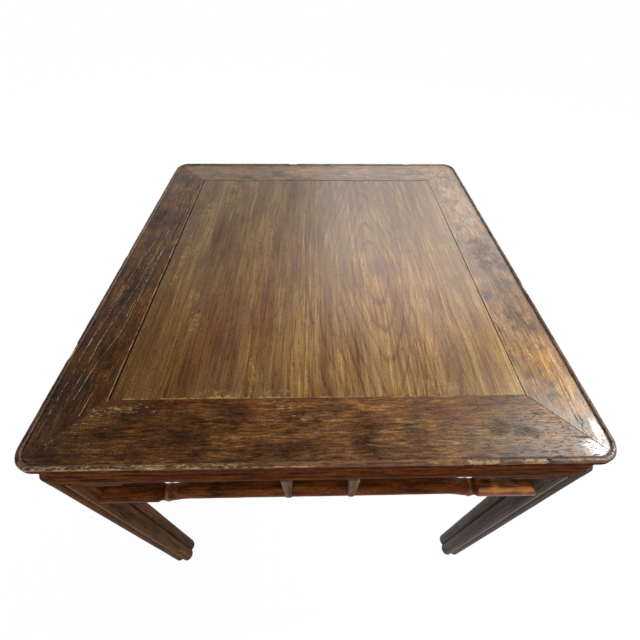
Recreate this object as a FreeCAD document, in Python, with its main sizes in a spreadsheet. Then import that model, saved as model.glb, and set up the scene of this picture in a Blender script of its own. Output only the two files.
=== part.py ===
import FreeCAD, Part
import os
import Sketcher

# Square table with canes carved along every rail and leg. Origin: middle of the floor under the
# table, +Z up, front towards -Y. Each side of the table is the front side turned about Z, and each
# leg is the front left leg turned about Z, so every body is drawn at the front or at that corner.

SIZES = [
    # top frame
    ("top_side", 900, "outer side of the square top"),
    ("table_height", 875, "floor to the top of the raised edge"),
    ("frame_width", 104, "width of a frame member"),
    ("frame_height", 31, "underside of the frame to the top of the raised edge"),
    ("corner_radius", 35, "rounding of the corners of the top"),
    ("rim_rise", 2.5, "raised edge above the field"),
    ("rim_width", 5, "flat top of the raised edge"),
    ("rim_slope", 4, "run of its inner slope"),
    ("edge_height", 13, "full edge, from the top down to the hollow"),
    ("face_inset", 6, "rails and legs behind the edge of the top"),
    ("hollow_height", 6, "hollow under the edge"),
    ("edge_round", 2, "rounding of the edge"),
    # panel and battens
    ("panel_thickness", 13.5, "panel boards"),
    ("panel_drop", 0.5, "panel below the field of the frame"),
    ("panel_gap_side", 1.2, "gap for movement at the long edges of the panel"),
    ("panel_gap_end", 0.4, "gap at the ends of the boards"),
    ("tongue_thickness", 6, "tongue of the panel"),
    ("tongue_depth", 4, "tongue below the top of the panel"),
    ("tongue_length", 7, "tongue of the panel beyond the opening"),
    ("seam_tongue", 4, "tongue between two boards"),
    ("batten_width", 36, "batten across the panel"),
    ("batten_height", 22, "batten below the panel"),
    ("batten_spacing", 220, "batten to batten"),
    ("dovetail_height", 4, "dovetail in the panel"),
    ("dovetail_flare", 2, "undercut of the dovetail on each side"),
    ("batten_tenon_width", 20, "tenon of a batten"),
    ("batten_tenon_height", 11, "tenon of a batten"),
    ("batten_tenon_length", 14, "tenon of a batten"),
    ("batten_tenon_drop", 2, "tenon below the top of the batten"),
    # joints of the frame
    ("mitre_tenon_width", 42, "tenon inside the mitre"),
    ("mitre_tenon_thickness", 9, "tenon inside the mitre"),
    ("mitre_tenon_lift", 7, "tenon above the underside of the frame"),
    ("mitre_tenon_inset", 22, "tenon from the inner edge of the member"),
    ("mitre_tenon_end", 25, "end of the tenon from the outer edge"),
    ("frame_peg_radius", 3, "peg in a mitre"),
    ("frame_peg_length", 20, "peg in a mitre"),
    ("peg_place", 45, "peg in a mitre, from the outer edge of the top"),
    # strips and aprons
    ("strip_height", 37, "under-edge strip, two canes"),
    ("strip_depth", 20, "under-edge strip, front to back"),
    ("cane_bulge", 4, "bulge of a cane"),
    ("strip_peg_radius", 2.5, "peg through a strip"),
    ("strip_peg_length", 46, "peg through a strip"),
    ("strip_peg_spacing", 210, "peg to peg"),
    ("strip_peg_inset", 15.5, "peg behind the face of the strip"),
    ("apron_height", 24, "apron, one cane"),
    ("apron_depth", 20, "apron, front to back"),
    ("lap_thickness", 8, "front of the apron over the lobe of the leg"),
    ("apron_tongue", 5, "tongue of the apron in the strip"),
    ("apron_tongue_inset", 6, "tongue of the apron behind its face"),
    ("apron_tenon_height", 14, "stub tenon of the apron"),
    ("apron_tenon_thickness", 6, "stub tenon of the apron"),
    ("apron_tenon_length", 14, "stub tenon of the apron beyond the face of the leg"),
    # spandrels
    ("spandrel_length", 104, "spandrel along the apron"),
    ("spandrel_height", 30, "spandrel at the leg"),
    ("spandrel_step", 17, "height of its first step"),
    ("spandrel_run", 34, "length of its first curve"),
    ("spandrel_nose", 6, "flat between its two curves"),
    ("spandrel_thickness", 12, "spandrel board"),
    ("spandrel_setback", 6, "spandrel behind the face of the apron"),
    ("spandrel_tongue", 5, "tongues of the spandrel"),
    # legs
    ("leg_width", 52, "leg across its lobes"),
    ("lobe_radius", 15, "one lobe of the leg"),
    ("foot_round", 2, "rounding of the foot"),
    ("post_width", 28, "head of the leg behind the strips"),
    ("head_tenon_width", 12, "tenons on the head of the leg"),
    ("head_tenon_thickness", 8, "tenons on the head of the leg"),
    ("head_tenon_place", 8, "tenons from the middle of the leg"),
    ("long_tenon", 16, "tenon into a side member"),
    ("short_tenon", 6, "tenon into a front or back member"),
    # stretchers and struts
    ("stretcher_drop", 95, "underside of the apron to the axis of the raised stretcher"),
    ("stretcher_radius", 13, "stretcher"),
    ("hump_rise", 12, "rise of the middle of the stretcher"),
    ("hump_half", 232, "middle to the end of the raised part"),
    ("hump_run", 50, "length of the bend between low and raised part"),
    ("node_width", 8, "bamboo node between the bend and the swollen end"),
    ("end_swell", 1.5, "swollen end of the stretcher above its middle"),
    ("stretcher_tenon_radius", 7, "round tenon of the stretcher"),
    ("stretcher_tenon_length", 18, "round tenon of the stretcher beyond the face of the leg"),
    ("strut_spacing", 112, "strut to strut"),
    ("strut_width", 18, "strut at the apron"),
    ("strut_foot_width", 12, "strut at the tip of its tongue"),
    ("strut_depth", 20, "strut, front to back"),
    ("strut_tenon_width", 8, "tenons of the strut"),
    ("strut_tenon_depth", 8, "tenons of the strut"),
    ("strut_tenon_length", 9, "tenons of the strut"),
    # fits
    ("fit", 0.1, "clearance round a tenon, tongue or peg"),
    ("end_fit", 1, "clearance at the end of a tenon"),
]

document = FreeCAD.newDocument("EightImmortalsTable")
sheet = document.addObject("Spreadsheet::Sheet", "Sizes")
for row, (alias, number, note) in enumerate(SIZES, start=1):
    sheet.set(f"A{row}", str(number))
    sheet.set(f"B{row}", note)
    sheet.setAlias(f"A{row}", alias)
document.recompute()


def cell(alias):
    return f"Sizes.{alias}"


def value(expression):
    return float(sheet.evalExpression(str(expression)))


# Places that several pieces share, as expressions on the sheet.
half = "(Sizes.top_side / 2)"
face = f"({half} - Sizes.face_inset)"
opening = f"({half} - Sizes.frame_width)"
corner = f"({half} - Sizes.corner_radius)"
leg_axis = f"({face} - Sizes.leg_width / 2)"
lobe_shift = "(Sizes.leg_width / 2 - Sizes.lobe_radius)"
lobe_inner = f"({leg_axis} - {lobe_shift})"
lobe_outer = f"({leg_axis} + {lobe_shift})"
groove_shift = f"({lobe_shift} + sqrt(Sizes.lobe_radius ^ 2 - {lobe_shift} ^ 2))"
leg_inside = f"({leg_axis} - Sizes.leg_width / 2)"
rail_back = f"({face} - Sizes.strip_depth)"

field_top = "(Sizes.table_height - Sizes.rim_rise)"
frame_under = "(Sizes.table_height - Sizes.frame_height)"
strip_under = f"({frame_under} - Sizes.strip_height)"
apron_under = f"({strip_under} - Sizes.apron_height)"
panel_top = f"({field_top} - Sizes.panel_drop)"
panel_under = f"({panel_top} - Sizes.panel_thickness)"
tongue_top = f"({panel_top} - Sizes.tongue_depth)"
tongue_under = f"({tongue_top} - Sizes.tongue_thickness)"
stretcher_high = f"({apron_under} - Sizes.stretcher_drop)"
stretcher_low = f"({stretcher_high} - Sizes.hump_rise)"


def new_body(label):
    body = document.addObject("PartDesign::Body", label)
    body.Label = label
    return body


def turn(body, quarter_turns):
    """Places a body drawn at the front on another side of the table."""
    rotation = FreeCAD.Rotation(FreeCAD.Vector(0, 0, 1), 90 * quarter_turns)
    body.Placement = FreeCAD.Placement(FreeCAD.Vector(0, 0, 0), rotation)


def new_sketch(body, name, plane="XY_Plane", level="0"):
    """A sketch on an origin plane of its body, moved along the plane's normal by level."""
    sketch = body.newObject("Sketcher::SketchObject", f"{body.Label}_{name}")
    support = next(feature for feature in body.Origin.OriginFeatures if feature.Role == plane)
    sketch.AttachmentSupport = (support, [""])
    sketch.MapMode = "FlatFace"
    sketch.setExpression("AttachmentOffset.Base.z", level)
    return sketch


def pin(sketch, geometry, end, place):
    """Ties one point of a sketch to two expressions."""
    for kind, expression in zip(("DistanceX", "DistanceY"), place):
        constraint = Sketcher.Constraint(kind, geometry, end, value(expression))
        number = sketch.addConstraint(constraint)
        sketch.setExpression(f"Constraints[{number}]", expression)


def draw(sketch, path, closed=True):
    """Draws a path through (x, y) expressions. A third item on a point makes the stretch that ends
    there an arc about that centre: (centre_x, centre_y, +1 anticlockwise or -1 clockwise)."""
    spots = [FreeCAD.Vector(value(point[0]), value(point[1]), 0) for point in path]
    count = len(path)
    stretches = range(count) if closed else range(1, count)
    first = None
    previous = None
    for index in stretches:
        start, finish = spots[index - 1], spots[index]
        point = path[index]
        if len(point) > 2:
            centre = FreeCAD.Vector(value(point[2][0]), value(point[2][1]), 0)
            radius = (start - centre).Length
            ends = [start, finish] if point[2][2] > 0 else [finish, start]
            angles = [FreeCAD.Vector(1, 0, 0).getAngle(spot - centre) for spot in ends]
            angles = [-a if spot.y < centre.y else a for a, spot in zip(angles, ends)]
            circle = Part.Circle(centre, FreeCAD.Vector(0, 0, 1), radius)
            shape = Part.ArcOfCircle(circle, angles[0], angles[1])
            tail, head = (1, 2) if point[2][2] > 0 else (2, 1)
        else:
            shape = Part.LineSegment(start, finish)
            tail, head = 1, 2
        geometry = sketch.addGeometry(shape, False)
        if previous is not None:
            sketch.addConstraint(
                Sketcher.Constraint("Coincident", previous[0], previous[1], geometry, tail))
        elif not closed:
            pin(sketch, geometry, tail, path[index - 1][:2])
        if first is None:
            first = (geometry, tail)
        previous = (geometry, head)
        last = closed and index == count - 1
        if last:
            sketch.addConstraint(Sketcher.Constraint("Coincident", geometry, head, *first))
        pin(sketch, geometry, head, point[:2])
        if len(point) > 2:
            # both ends are tied already, so one ordinate of the centre settles the arc
            axis = "DistanceX" if abs((finish - start).y) > abs((finish - start).x) else "DistanceY"
            ordinate = point[2][0] if axis == "DistanceX" else point[2][1]
            number = sketch.addConstraint(Sketcher.Constraint(axis, geometry, 3, value(ordinate)))
            sketch.setExpression(f"Constraints[{number}]", ordinate)
    return sketch


def draw_box(sketch, left, low, right, high):
    return draw(sketch, [(left, low), (right, low), (right, high), (left, high)])


def draw_circle(sketch, centre, radius):
    spot = FreeCAD.Vector(value(centre[0]), value(centre[1]), 0)
    circle = Part.Circle(spot, FreeCAD.Vector(0, 0, 1), value(radius))
    geometry = sketch.addGeometry(circle, False)
    pin(sketch, geometry, 3, centre)
    number = sketch.addConstraint(Sketcher.Constraint("Radius", geometry, value(radius)))
    sketch.setExpression(f"Constraints[{number}]", radius)
    return sketch


def extrude(body, kind, sketch, length, symmetric=False, reverse=False):
    """Pad or Pocket of a sketch. A pad runs along the plane's normal, a pocket against it."""
    feature = body.newObject(f"PartDesign::{kind}", f"{sketch.Label}_{kind.lower()}")
    feature.Profile = sketch
    feature.setExpression("Length", length)
    if symmetric:
        feature.SideType = "Symmetric"
    feature.Reversed = reverse
    sketch.Visibility = False
    return feature


def slab(body, kind, name, low, high, boxes):
    """Pads or pockets upright boxes (left, front, right, back) between two levels."""
    level = low if kind == "Pad" else high
    sketch = new_sketch(body, name, "XY_Plane", level)
    for box in boxes:
        draw_box(sketch, *box)
    return extrude(body, kind, sketch, f"{high} - {low}")


def both_ends(inner, front, outer, back):
    """A box at the right end of a rail and its mirror image at the left end."""
    return [(inner, front, outer, back), (f"-{outer}", front, f"-{inner}", back)]


def around(centre, width):
    """Low and high ordinate of a width about a centre."""
    return f"({centre} - {width} / 2)", f"({centre} + {width} / 2)"


def grown(low, high, by=cell("fit")):
    return f"({low} - {by})", f"({high} + {by})"


def mirror(body, features):
    """Copies features to the other end of a rail."""
    mirrored = body.newObject("PartDesign::Mirrored", f"{body.Label}_mirrored")
    plane = next(feature for feature in body.Origin.OriginFeatures if feature.Role == "YZ_Plane")
    mirrored.Originals = features
    mirrored.MirrorPlane = (plane, [""])
    body.Tip = mirrored
    return mirrored


def pipe(body, profile, spine):
    feature = body.newObject("PartDesign::AdditivePipe", f"{profile.Label}_pipe")
    feature.Profile = profile
    feature.Spine = (spine, [])
    profile.Visibility = False
    spine.Visibility = False
    return feature


def mitred_rail(body, inner, core, low, high, section):
    """A rail with mitred ends and rounded outer corners: a plain core, and its moulded edge carried
    along the front and round the corner as far as the mitre. core is the plane between the two."""
    turn_point = f"({corner} + ({core} - {corner}) * sqrt(0.5))"
    right_centre, left_centre = (corner, f"-{corner}", -1), (f"-{corner}", f"-{corner}", -1)
    plan = [(inner, f"-{inner}"),
            (turn_point, f"-{turn_point}"),
            (corner, f"-{core}", right_centre),
            (f"-{corner}", f"-{core}"),
            (f"-{turn_point}", f"-{turn_point}", left_centre),
            (f"-{inner}", f"-{inner}")]
    extrude(body, "Pad", draw(new_sketch(body, "plan", "XY_Plane", low), plan), f"{high} - {low}")
    edge = draw(new_sketch(body, "edge", "YZ_Plane"), section)
    line = [("0", f"-{core}"),
            (corner, f"-{core}"),
            (turn_point, f"-{turn_point}", (corner, f"-{corner}", 1))]
    spine = draw(new_sketch(body, "spine", "XY_Plane", low), line, closed=False)
    mirror(body, [pipe(body, edge, spine)])


def cane(low, high):
    """The stretch of a section, drawn downwards, that bulges into one cane of a rail."""
    half_height = f"(({high} - {low}) / 2)"
    radius = f"(({half_height} ^ 2 + Sizes.cane_bulge ^ 2) / (2 * Sizes.cane_bulge))"
    valley = f"-({face} - Sizes.cane_bulge)"
    return (valley, low, (f"-({face} - {radius})", f"(({low} + {high}) / 2)", 1))


# Joints that two pieces share.
mitre_tenon_y = (f"({opening} + Sizes.mitre_tenon_inset)",
                 f"({opening} + Sizes.mitre_tenon_inset + Sizes.mitre_tenon_width)")
mitre_tenon_z = (f"({frame_under} + Sizes.mitre_tenon_lift)",
                 f"({frame_under} + Sizes.mitre_tenon_lift + Sizes.mitre_tenon_thickness)")
mitre_tenon_end = f"({half} - Sizes.mitre_tenon_end)"
mitre_peg = (f"({opening} + Sizes.mitre_tenon_inset + Sizes.mitre_tenon_width / 2)",
             f"({half} - Sizes.peg_place)")
batten_places = [f"({step} * Sizes.batten_spacing)" for step in (-1, 0, 1)]
batten_tenon_top = f"({panel_under} - Sizes.batten_tenon_drop)"
batten_tenon_z = (f"({batten_tenon_top} - Sizes.batten_tenon_height)", batten_tenon_top)
head_tenon_far = (f"({leg_axis} - Sizes.head_tenon_place - Sizes.head_tenon_width)",
                  f"({leg_axis} - Sizes.head_tenon_place)")
head_tenon_near = around(leg_axis, cell("head_tenon_thickness"))
lap_back = f"({face} - Sizes.lap_thickness)"
apron_back = f"({face} - Sizes.apron_depth)"
apron_tenon_y = around(f"(({lap_back} + {apron_back}) / 2)", cell("apron_tenon_thickness"))
apron_tenon_z = around(f"(({apron_under} + {strip_under}) / 2)", cell("apron_tenon_height"))
apron_tongue_y = (f"({face} - Sizes.apron_tongue_inset - Sizes.apron_tongue)",
                  f"({face} - Sizes.apron_tongue_inset)")
spandrel_back = f"({face} - Sizes.spandrel_setback - Sizes.spandrel_thickness)"
spandrel_tip = f"({leg_inside} - Sizes.spandrel_length)"
spandrel_foot = f"({apron_under} - Sizes.spandrel_height)"
spandrel_tongue_y = around(f"({spandrel_back} + Sizes.spandrel_thickness / 2)",
                           cell("spandrel_tongue"))
spandrel_tongue_x = (f"({spandrel_tip} + Sizes.spandrel_tongue)",
                     f"({leg_inside} - Sizes.spandrel_tongue)")
spandrel_tongue_z = (f"({spandrel_foot} + Sizes.spandrel_tongue)",
                     f"({apron_under} - Sizes.spandrel_tongue)")
strut_places = [f"({side} * Sizes.strut_spacing / 2)" for side in (-1, 1)]
strut_middle = f"({face} - Sizes.strut_depth / 2)"
strip_peg_places = [f"({step} * Sizes.strip_peg_spacing)" for step in (-1.5, -0.5, 0.5, 1.5)]
strip_peg_y = f"({face} - Sizes.strip_peg_inset)"


def frame_member(label, quarter_turns, tenoned):
    body = new_body(label)
    top = cell("table_height")
    core = f"({face} - Sizes.rim_width - Sizes.rim_slope)"
    edge_foot = f"({top} - Sizes.edge_height)"
    round_in = f"-({half} - Sizes.edge_round)"
    section = [(f"-{core}", frame_under),
               (f"-{core}", field_top),
               (f"-({half} - Sizes.rim_width - Sizes.rim_slope)", field_top),
               (f"-({half} - Sizes.rim_width)", top),
               (round_in, top),
               (f"-{half}", f"({top} - Sizes.edge_round)", (round_in, f"({top} - Sizes.edge_round)", 1)),
               (f"-{half}", f"({edge_foot} + Sizes.edge_round)"),
               (round_in, edge_foot, (round_in, f"({edge_foot} + Sizes.edge_round)", 1)),
               (f"-{face}", f"({edge_foot} - Sizes.hollow_height)"),
               (f"-{face}", frame_under)]
    mitred_rail(body, opening, core, frame_under, field_top, section)
    peg_x, peg_y = mitre_peg
    if tenoned:
        peg_x, peg_y = peg_y, peg_x
        slab(body, "Pad", "tenon", *mitre_tenon_z,
             [(f"-{mitre_tenon_end}", f"-{mitre_tenon_y[1]}", mitre_tenon_end, f"-{mitre_tenon_y[0]}")])
        low, high = batten_tenon_z
        boxes = []
        for place in batten_places:
            left, right = grown(*around(place, cell("batten_tenon_width")))
            reach = f"-({opening} + Sizes.batten_tenon_length + Sizes.end_fit)"
            boxes.append((left, reach, right, f"-{opening}"))
        slab(body, "Pocket", "batten_mortises", *grown(low, high), boxes)
        leg_tenon = cell("long_tenon")
    else:
        left, right = grown(*mitre_tenon_y)
        slab(body, "Pocket", "mortises", *grown(*mitre_tenon_z),
             both_ends(left, f"-({mitre_tenon_end} + Sizes.end_fit)", right, f"-{opening}"))
        leg_tenon = cell("short_tenon")
    reach = f"({opening} + Sizes.tongue_length + Sizes.end_fit)"
    slab(body, "Pocket", "panel_groove", *grown(tongue_under, tongue_top),
         [(f"-{reach}", f"-{reach}", reach, f"-{opening}")])
    near, far = grown(*head_tenon_near), grown(*head_tenon_far)
    slab(body, "Pocket", "leg_mortises", frame_under, f"({frame_under} + {leg_tenon} + Sizes.end_fit)",
         both_ends(far[0], f"-{near[1]}", far[1], f"-{near[0]}"))
    holes = new_sketch(body, "peg_holes", "XY_Plane", f"({frame_under} + Sizes.frame_peg_length)")
    for side in ("", "-"):
        draw_circle(holes, (f"{side}{peg_x}", f"-{peg_y}"), "Sizes.frame_peg_radius + Sizes.fit")
    extrude(body, "Pocket", holes, cell("frame_peg_length"))
    strip_holes(body, frame_under)
    turn(body, quarter_turns)
    return body


def strip_holes(body, low):
    """Holes for the pegs that hold a strip to the frame, up from a level."""
    peg_top = f"({strip_under} + Sizes.strip_peg_length)"
    holes = new_sketch(body, "strip_peg_holes", "XY_Plane", peg_top)
    for place in strip_peg_places:
        draw_circle(holes, (place, f"-{strip_peg_y}"), "Sizes.strip_peg_radius + Sizes.fit")
    extrude(body, "Pocket", holes, f"{peg_top} - {low}")


def panel_board(label, place):
    """One board of the panel: place is -1, 0 or 1 from left to right."""
    body = new_body(label)
    edge = f"({opening} - Sizes.panel_gap_side)"
    end = f"({opening} - Sizes.panel_gap_end)"
    seam = f"({edge} / 3)"
    reach = f"({opening} + Sizes.tongue_length)"
    left = {-1: f"-{edge}", 0: f"-{seam}", 1: seam}[place]
    right = {-1: f"-{seam}", 0: seam, 1: edge}[place]
    slab(body, "Pad", "board", panel_under, panel_top, [(left, f"-{end}", right, end)])
    tongue_left = f"-{reach}" if place < 0 else left
    tongue_right = reach if place > 0 else right
    slab(body, "Pad", "tongues", tongue_under, tongue_top,
         [(tongue_left, f"-{reach}", tongue_right, reach)])
    if place == 0:
        far = f"({seam} + Sizes.seam_tongue)"
        slab(body, "Pad", "seam_tongues", tongue_under, tongue_top, [(f"-{far}", f"-{end}", far, end)])
    else:
        far = f"({seam} + Sizes.seam_tongue + Sizes.end_fit)"
        near_x, far_x = (f"-{far}", f"-{seam}") if place < 0 else (seam, far)
        slab(body, "Pocket", "seam_groove", *grown(tongue_under, tongue_top),
             [(near_x, f"-{reach}", far_x, reach)])
    slots = new_sketch(body, "dovetail_slots", "YZ_Plane")
    neck = "(Sizes.batten_width / 2 - Sizes.dovetail_flare + Sizes.fit)"
    flare = "(Sizes.batten_width / 2 + Sizes.fit)"
    roof = f"({panel_under} + Sizes.dovetail_height + Sizes.fit)"
    for middle in batten_places:
        draw(slots, [(f"({middle} - {neck})", panel_under), (f"({middle} + {neck})", panel_under),
                     (f"({middle} + {flare})", roof), (f"({middle} - {flare})", roof)])
    extrude(body, "Pocket", slots, cell("top_side"), symmetric=True)
    return body


def batten(label, middle):
    body = new_body(label)
    section = new_sketch(body, "section", "YZ_Plane")
    neck, wide = "(Sizes.batten_width / 2 - Sizes.dovetail_flare)", "(Sizes.batten_width / 2)"
    foot = f"({panel_under} - Sizes.batten_height)"
    roof = f"({panel_under} + Sizes.dovetail_height)"
    draw(section, [(f"({middle} - {wide})", foot), (f"({middle} + {wide})", foot),
                   (f"({middle} + {wide})", panel_under), (f"({middle} + {neck})", panel_under),
                   (f"({middle} + {wide})", roof), (f"({middle} - {wide})", roof),
                   (f"({middle} - {neck})", panel_under), (f"({middle} - {wide})", panel_under)])
    extrude(body, "Pad", section, f"2 * {opening}", symmetric=True)
    reach = f"({opening} + Sizes.batten_tenon_length)"
    front, back = around(middle, cell("batten_tenon_width"))
    slab(body, "Pad", "tenons", *batten_tenon_z, [(f"-{reach}", front, reach, back)])
    return body


def strip(label, quarter_turns):
    body = new_body(label)
    core = f"({face} - 2 * Sizes.cane_bulge)"
    valley = f"-({face} - Sizes.cane_bulge)"
    middle = f"(({strip_under} + {frame_under}) / 2)"
    section = [(f"-{core}", strip_under),
               (f"-{core}", frame_under),
               (valley, frame_under),
               cane(middle, frame_under),
               cane(strip_under, middle)]
    mitred_rail(body, rail_back, core, strip_under, frame_under, section)
    front, back = grown(*apron_tongue_y)
    reach = f"({leg_inside} + Sizes.end_fit)"
    slab(body, "Pocket", "apron_groove", strip_under,
         f"({strip_under} + Sizes.apron_tongue + Sizes.end_fit)",
         [(f"-{reach}", f"-{back}", reach, f"-{front}")])
    strip_holes(body, strip_under)
    turn(body, quarter_turns)
    return body


def apron(label, quarter_turns):
    body = new_body(label)

    def cope(depth):
        return f"({lobe_inner} - sqrt(Sizes.lobe_radius ^ 2 - ({depth} - {lobe_outer}) ^ 2))"

    right_lobe, left_lobe = (lobe_inner, f"-{lobe_outer}", -1), (f"-{lobe_inner}", f"-{lobe_outer}", -1)
    plan = [(leg_axis, f"-{face}"),
            (leg_axis, f"-{lap_back}"),
            (cope(lap_back), f"-{lap_back}"),
            (cope(apron_back), f"-{apron_back}", right_lobe),
            (f"-{cope(apron_back)}", f"-{apron_back}"),
            (f"-{cope(lap_back)}", f"-{lap_back}", left_lobe),
            (f"-{leg_axis}", f"-{lap_back}"),
            (f"-{leg_axis}", f"-{face}")]
    extrude(body, "Pad", draw(new_sketch(body, "plan", "XY_Plane", apron_under), plan),
            cell("apron_height"))
    # what lies in front of the round face of the cane
    valley, clear = f"-({face} - Sizes.cane_bulge)", f"-({face} + Sizes.cane_bulge)"
    round_face = new_sketch(body, "round_face", "YZ_Plane")
    draw(round_face, [(clear, apron_under), (clear, strip_under), (valley, strip_under),
                      cane(apron_under, strip_under)])
    extrude(body, "Pocket", round_face, cell("top_side"), symmetric=True)
    reach = f"({leg_inside} + Sizes.apron_tenon_length)"
    slab(body, "Pad", "tenons", *apron_tenon_z,
         [(f"-{reach}", f"-{apron_tenon_y[1]}", reach, f"-{apron_tenon_y[0]}")])
    slab(body, "Pad", "tongue", strip_under, f"({strip_under} + Sizes.apron_tongue)",
         [(f"-{leg_inside}", f"-{apron_tongue_y[1]}", leg_inside, f"-{apron_tongue_y[0]}")])
    front, back = grown(*spandrel_tongue_y)
    left, right = grown(*spandrel_tongue_x)
    slab(body, "Pocket", "spandrel_grooves", apron_under,
         f"({apron_under} + Sizes.spandrel_tongue + Sizes.end_fit)",
         both_ends(left, f"-{back}", right, f"-{front}"))
    front, back = grown(*around(strut_middle, cell("strut_tenon_depth")))
    boxes = []
    for place in strut_places:
        left, right = grown(*around(place, cell("strut_tenon_width")))
        boxes.append((left, f"-{back}", right, f"-{front}"))
    slab(body, "Pocket", "strut_mortises", apron_under,
         f"({apron_under} + Sizes.strut_tenon_length + Sizes.end_fit)", boxes)
    turn(body, quarter_turns)
    return body


def spandrel(label, quarter_turns, side):
    """A stepped board under one end of an apron. side is 1 at its right end, -1 at its left."""
    body = new_body(label)

    def out(expression):
        return f"({side} * {expression})"

    first_end = f"({spandrel_tip} + Sizes.spandrel_run)"
    first_z = f"({apron_under} - Sizes.spandrel_step)"
    first_radius = "((Sizes.spandrel_run ^ 2 + Sizes.spandrel_step ^ 2) / (2 * Sizes.spandrel_step))"
    nose = f"({first_end} + Sizes.spandrel_nose)"
    second_radius = "(Sizes.spandrel_height - Sizes.spandrel_step)"
    second_end = f"({nose} + {second_radius})"
    outline = [(out(spandrel_tip), apron_under),
               (out(first_end), first_z, (out(first_end), f"({first_z} + {first_radius})", side)),
               (out(nose), first_z),
               (out(second_end), spandrel_foot, (out(second_end), first_z, side)),
               (out(lobe_inner), spandrel_foot),
               (out(lobe_inner), apron_under)]
    extrude(body, "Pad", draw(new_sketch(body, "outline", "XZ_Plane", spandrel_back), outline),
            cell("spandrel_thickness"))
    cope = new_sketch(body, "cope", "XY_Plane", apron_under)
    draw_circle(cope, (out(lobe_inner), f"-{lobe_outer}"), cell("lobe_radius"))
    extrude(body, "Pocket", cope, cell("spandrel_height"))
    front, back = spandrel_tongue_y
    slab(body, "Pad", "apron_tongue", apron_under, f"({apron_under} + Sizes.spandrel_tongue)",
         [(out(spandrel_tongue_x[0]), f"-{back}", out(spandrel_tongue_x[1]), f"-{front}")])
    slab(body, "Pad", "leg_tongue", *spandrel_tongue_z,
         [(out(spandrel_tongue_x[1]), f"-{back}", out(f"({leg_inside} + Sizes.spandrel_tongue)"),
           f"-{front}")])
    turn(body, quarter_turns)
    return body


def leg(label, quarter_turns):
    """Drawn at the front left corner. The tenon along the side members is the long one."""
    body = new_body(label)
    middle = f"(-{leg_axis})"
    low, high = f"({middle} - {groove_shift})", f"({middle} + {groove_shift})"
    near, far = f"({middle} + {lobe_shift})", f"({middle} - {lobe_shift})"
    section = [(middle, high, (near, near, 1)),
               (low, middle, (far, near, 1)),
               (middle, low, (far, far, 1)),
               (high, middle, (near, far, 1))]
    shaft = extrude(body, "Pad", draw(new_sketch(body, "section"), section), strip_under)
    document.recompute()
    foot_edges = [f"Edge{number}" for number, edge in enumerate(shaft.Shape.Edges, start=1)
                  if edge.BoundBox.ZMax < value(cell("foot_round"))]
    foot = body.newObject("PartDesign::Chamfer", f"{label}_foot")
    foot.Base = (shaft, foot_edges)
    foot.setExpression("Size", cell("foot_round"))
    post_out, post_in = f"-{rail_back}", f"(-{rail_back} + Sizes.post_width)"
    slab(body, "Pad", "head", strip_under, frame_under, [(post_out, post_out, post_in, post_in)])
    along_x = (f"-{head_tenon_far[1]}", f"-{head_tenon_near[1]}",
               f"-{head_tenon_far[0]}", f"-{head_tenon_near[0]}")
    along_y = (along_x[1], along_x[0], along_x[3], along_x[2])
    lengths = [cell("short_tenon"), cell("long_tenon")]
    if quarter_turns % 2:
        lengths.reverse()
    for name, box, length in zip(("tenon_x", "tenon_y"), (along_x, along_y), lengths):
        slab(body, "Pad", name, frame_under, f"({frame_under} + {length})", [box])

    def both_ways(name, low, high, left, front, right, back):
        """Pockets a box and its mirror image across the diagonal of the leg."""
        slab(body, "Pocket", name, low, high, [(left, front, right, back), (front, left, back, right)])

    both_ways("laps", apron_under, strip_under, f"-{leg_axis}", f"-{half}", f"-{leg_inside}", f"-{lap_back}")
    front, back = grown(*apron_tenon_y)
    reach = f"-({leg_inside} + Sizes.apron_tenon_length + Sizes.end_fit)"
    both_ways("apron_mortises", *grown(*apron_tenon_z), reach, f"-{back}", f"-{leg_inside}", f"-{front}")
    front, back = grown(*spandrel_tongue_y)
    reach = f"-({leg_inside} + Sizes.spandrel_tongue + Sizes.end_fit)"
    both_ways("spandrel_slots", *grown(*spandrel_tongue_z), reach, f"-{back}", f"-{leg_inside}",
              f"-{front}")
    for name, plane, level, reverse in (("x", "YZ_Plane", f"-{leg_inside}", False),
                                        ("y", "XZ_Plane", leg_inside, True)):
        hole = new_sketch(body, f"stretcher_hole_{name}", plane, level)
        draw_circle(hole, (f"-{lobe_outer}", stretcher_low), "Sizes.stretcher_tenon_radius + Sizes.fit")
        extrude(body, "Pocket", hole, "Sizes.stretcher_tenon_length + Sizes.end_fit", reverse=reverse)
    turn(body, quarter_turns)
    return body


def revolve(body, name, outline):
    """Turns an outline about the axis of the low end of the stretcher."""
    sketch = new_sketch(body, name, "XZ_Plane", lobe_outer)
    draw(sketch, outline)
    start = FreeCAD.Vector(0, value(stretcher_low), 0)
    finish = FreeCAD.Vector(value(leg_axis), value(stretcher_low), 0)
    axis = sketch.addGeometry(Part.LineSegment(start, finish), True)
    pin(sketch, axis, 1, ("0", stretcher_low))
    pin(sketch, axis, 2, (leg_axis, stretcher_low))
    feature = body.newObject("PartDesign::Revolution", f"{body.Label}_{name}_turned")
    feature.Profile = sketch
    feature.ReferenceAxis = (sketch, ["Axis0"])
    feature.Angle = 360
    sketch.Visibility = False
    return feature


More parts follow.
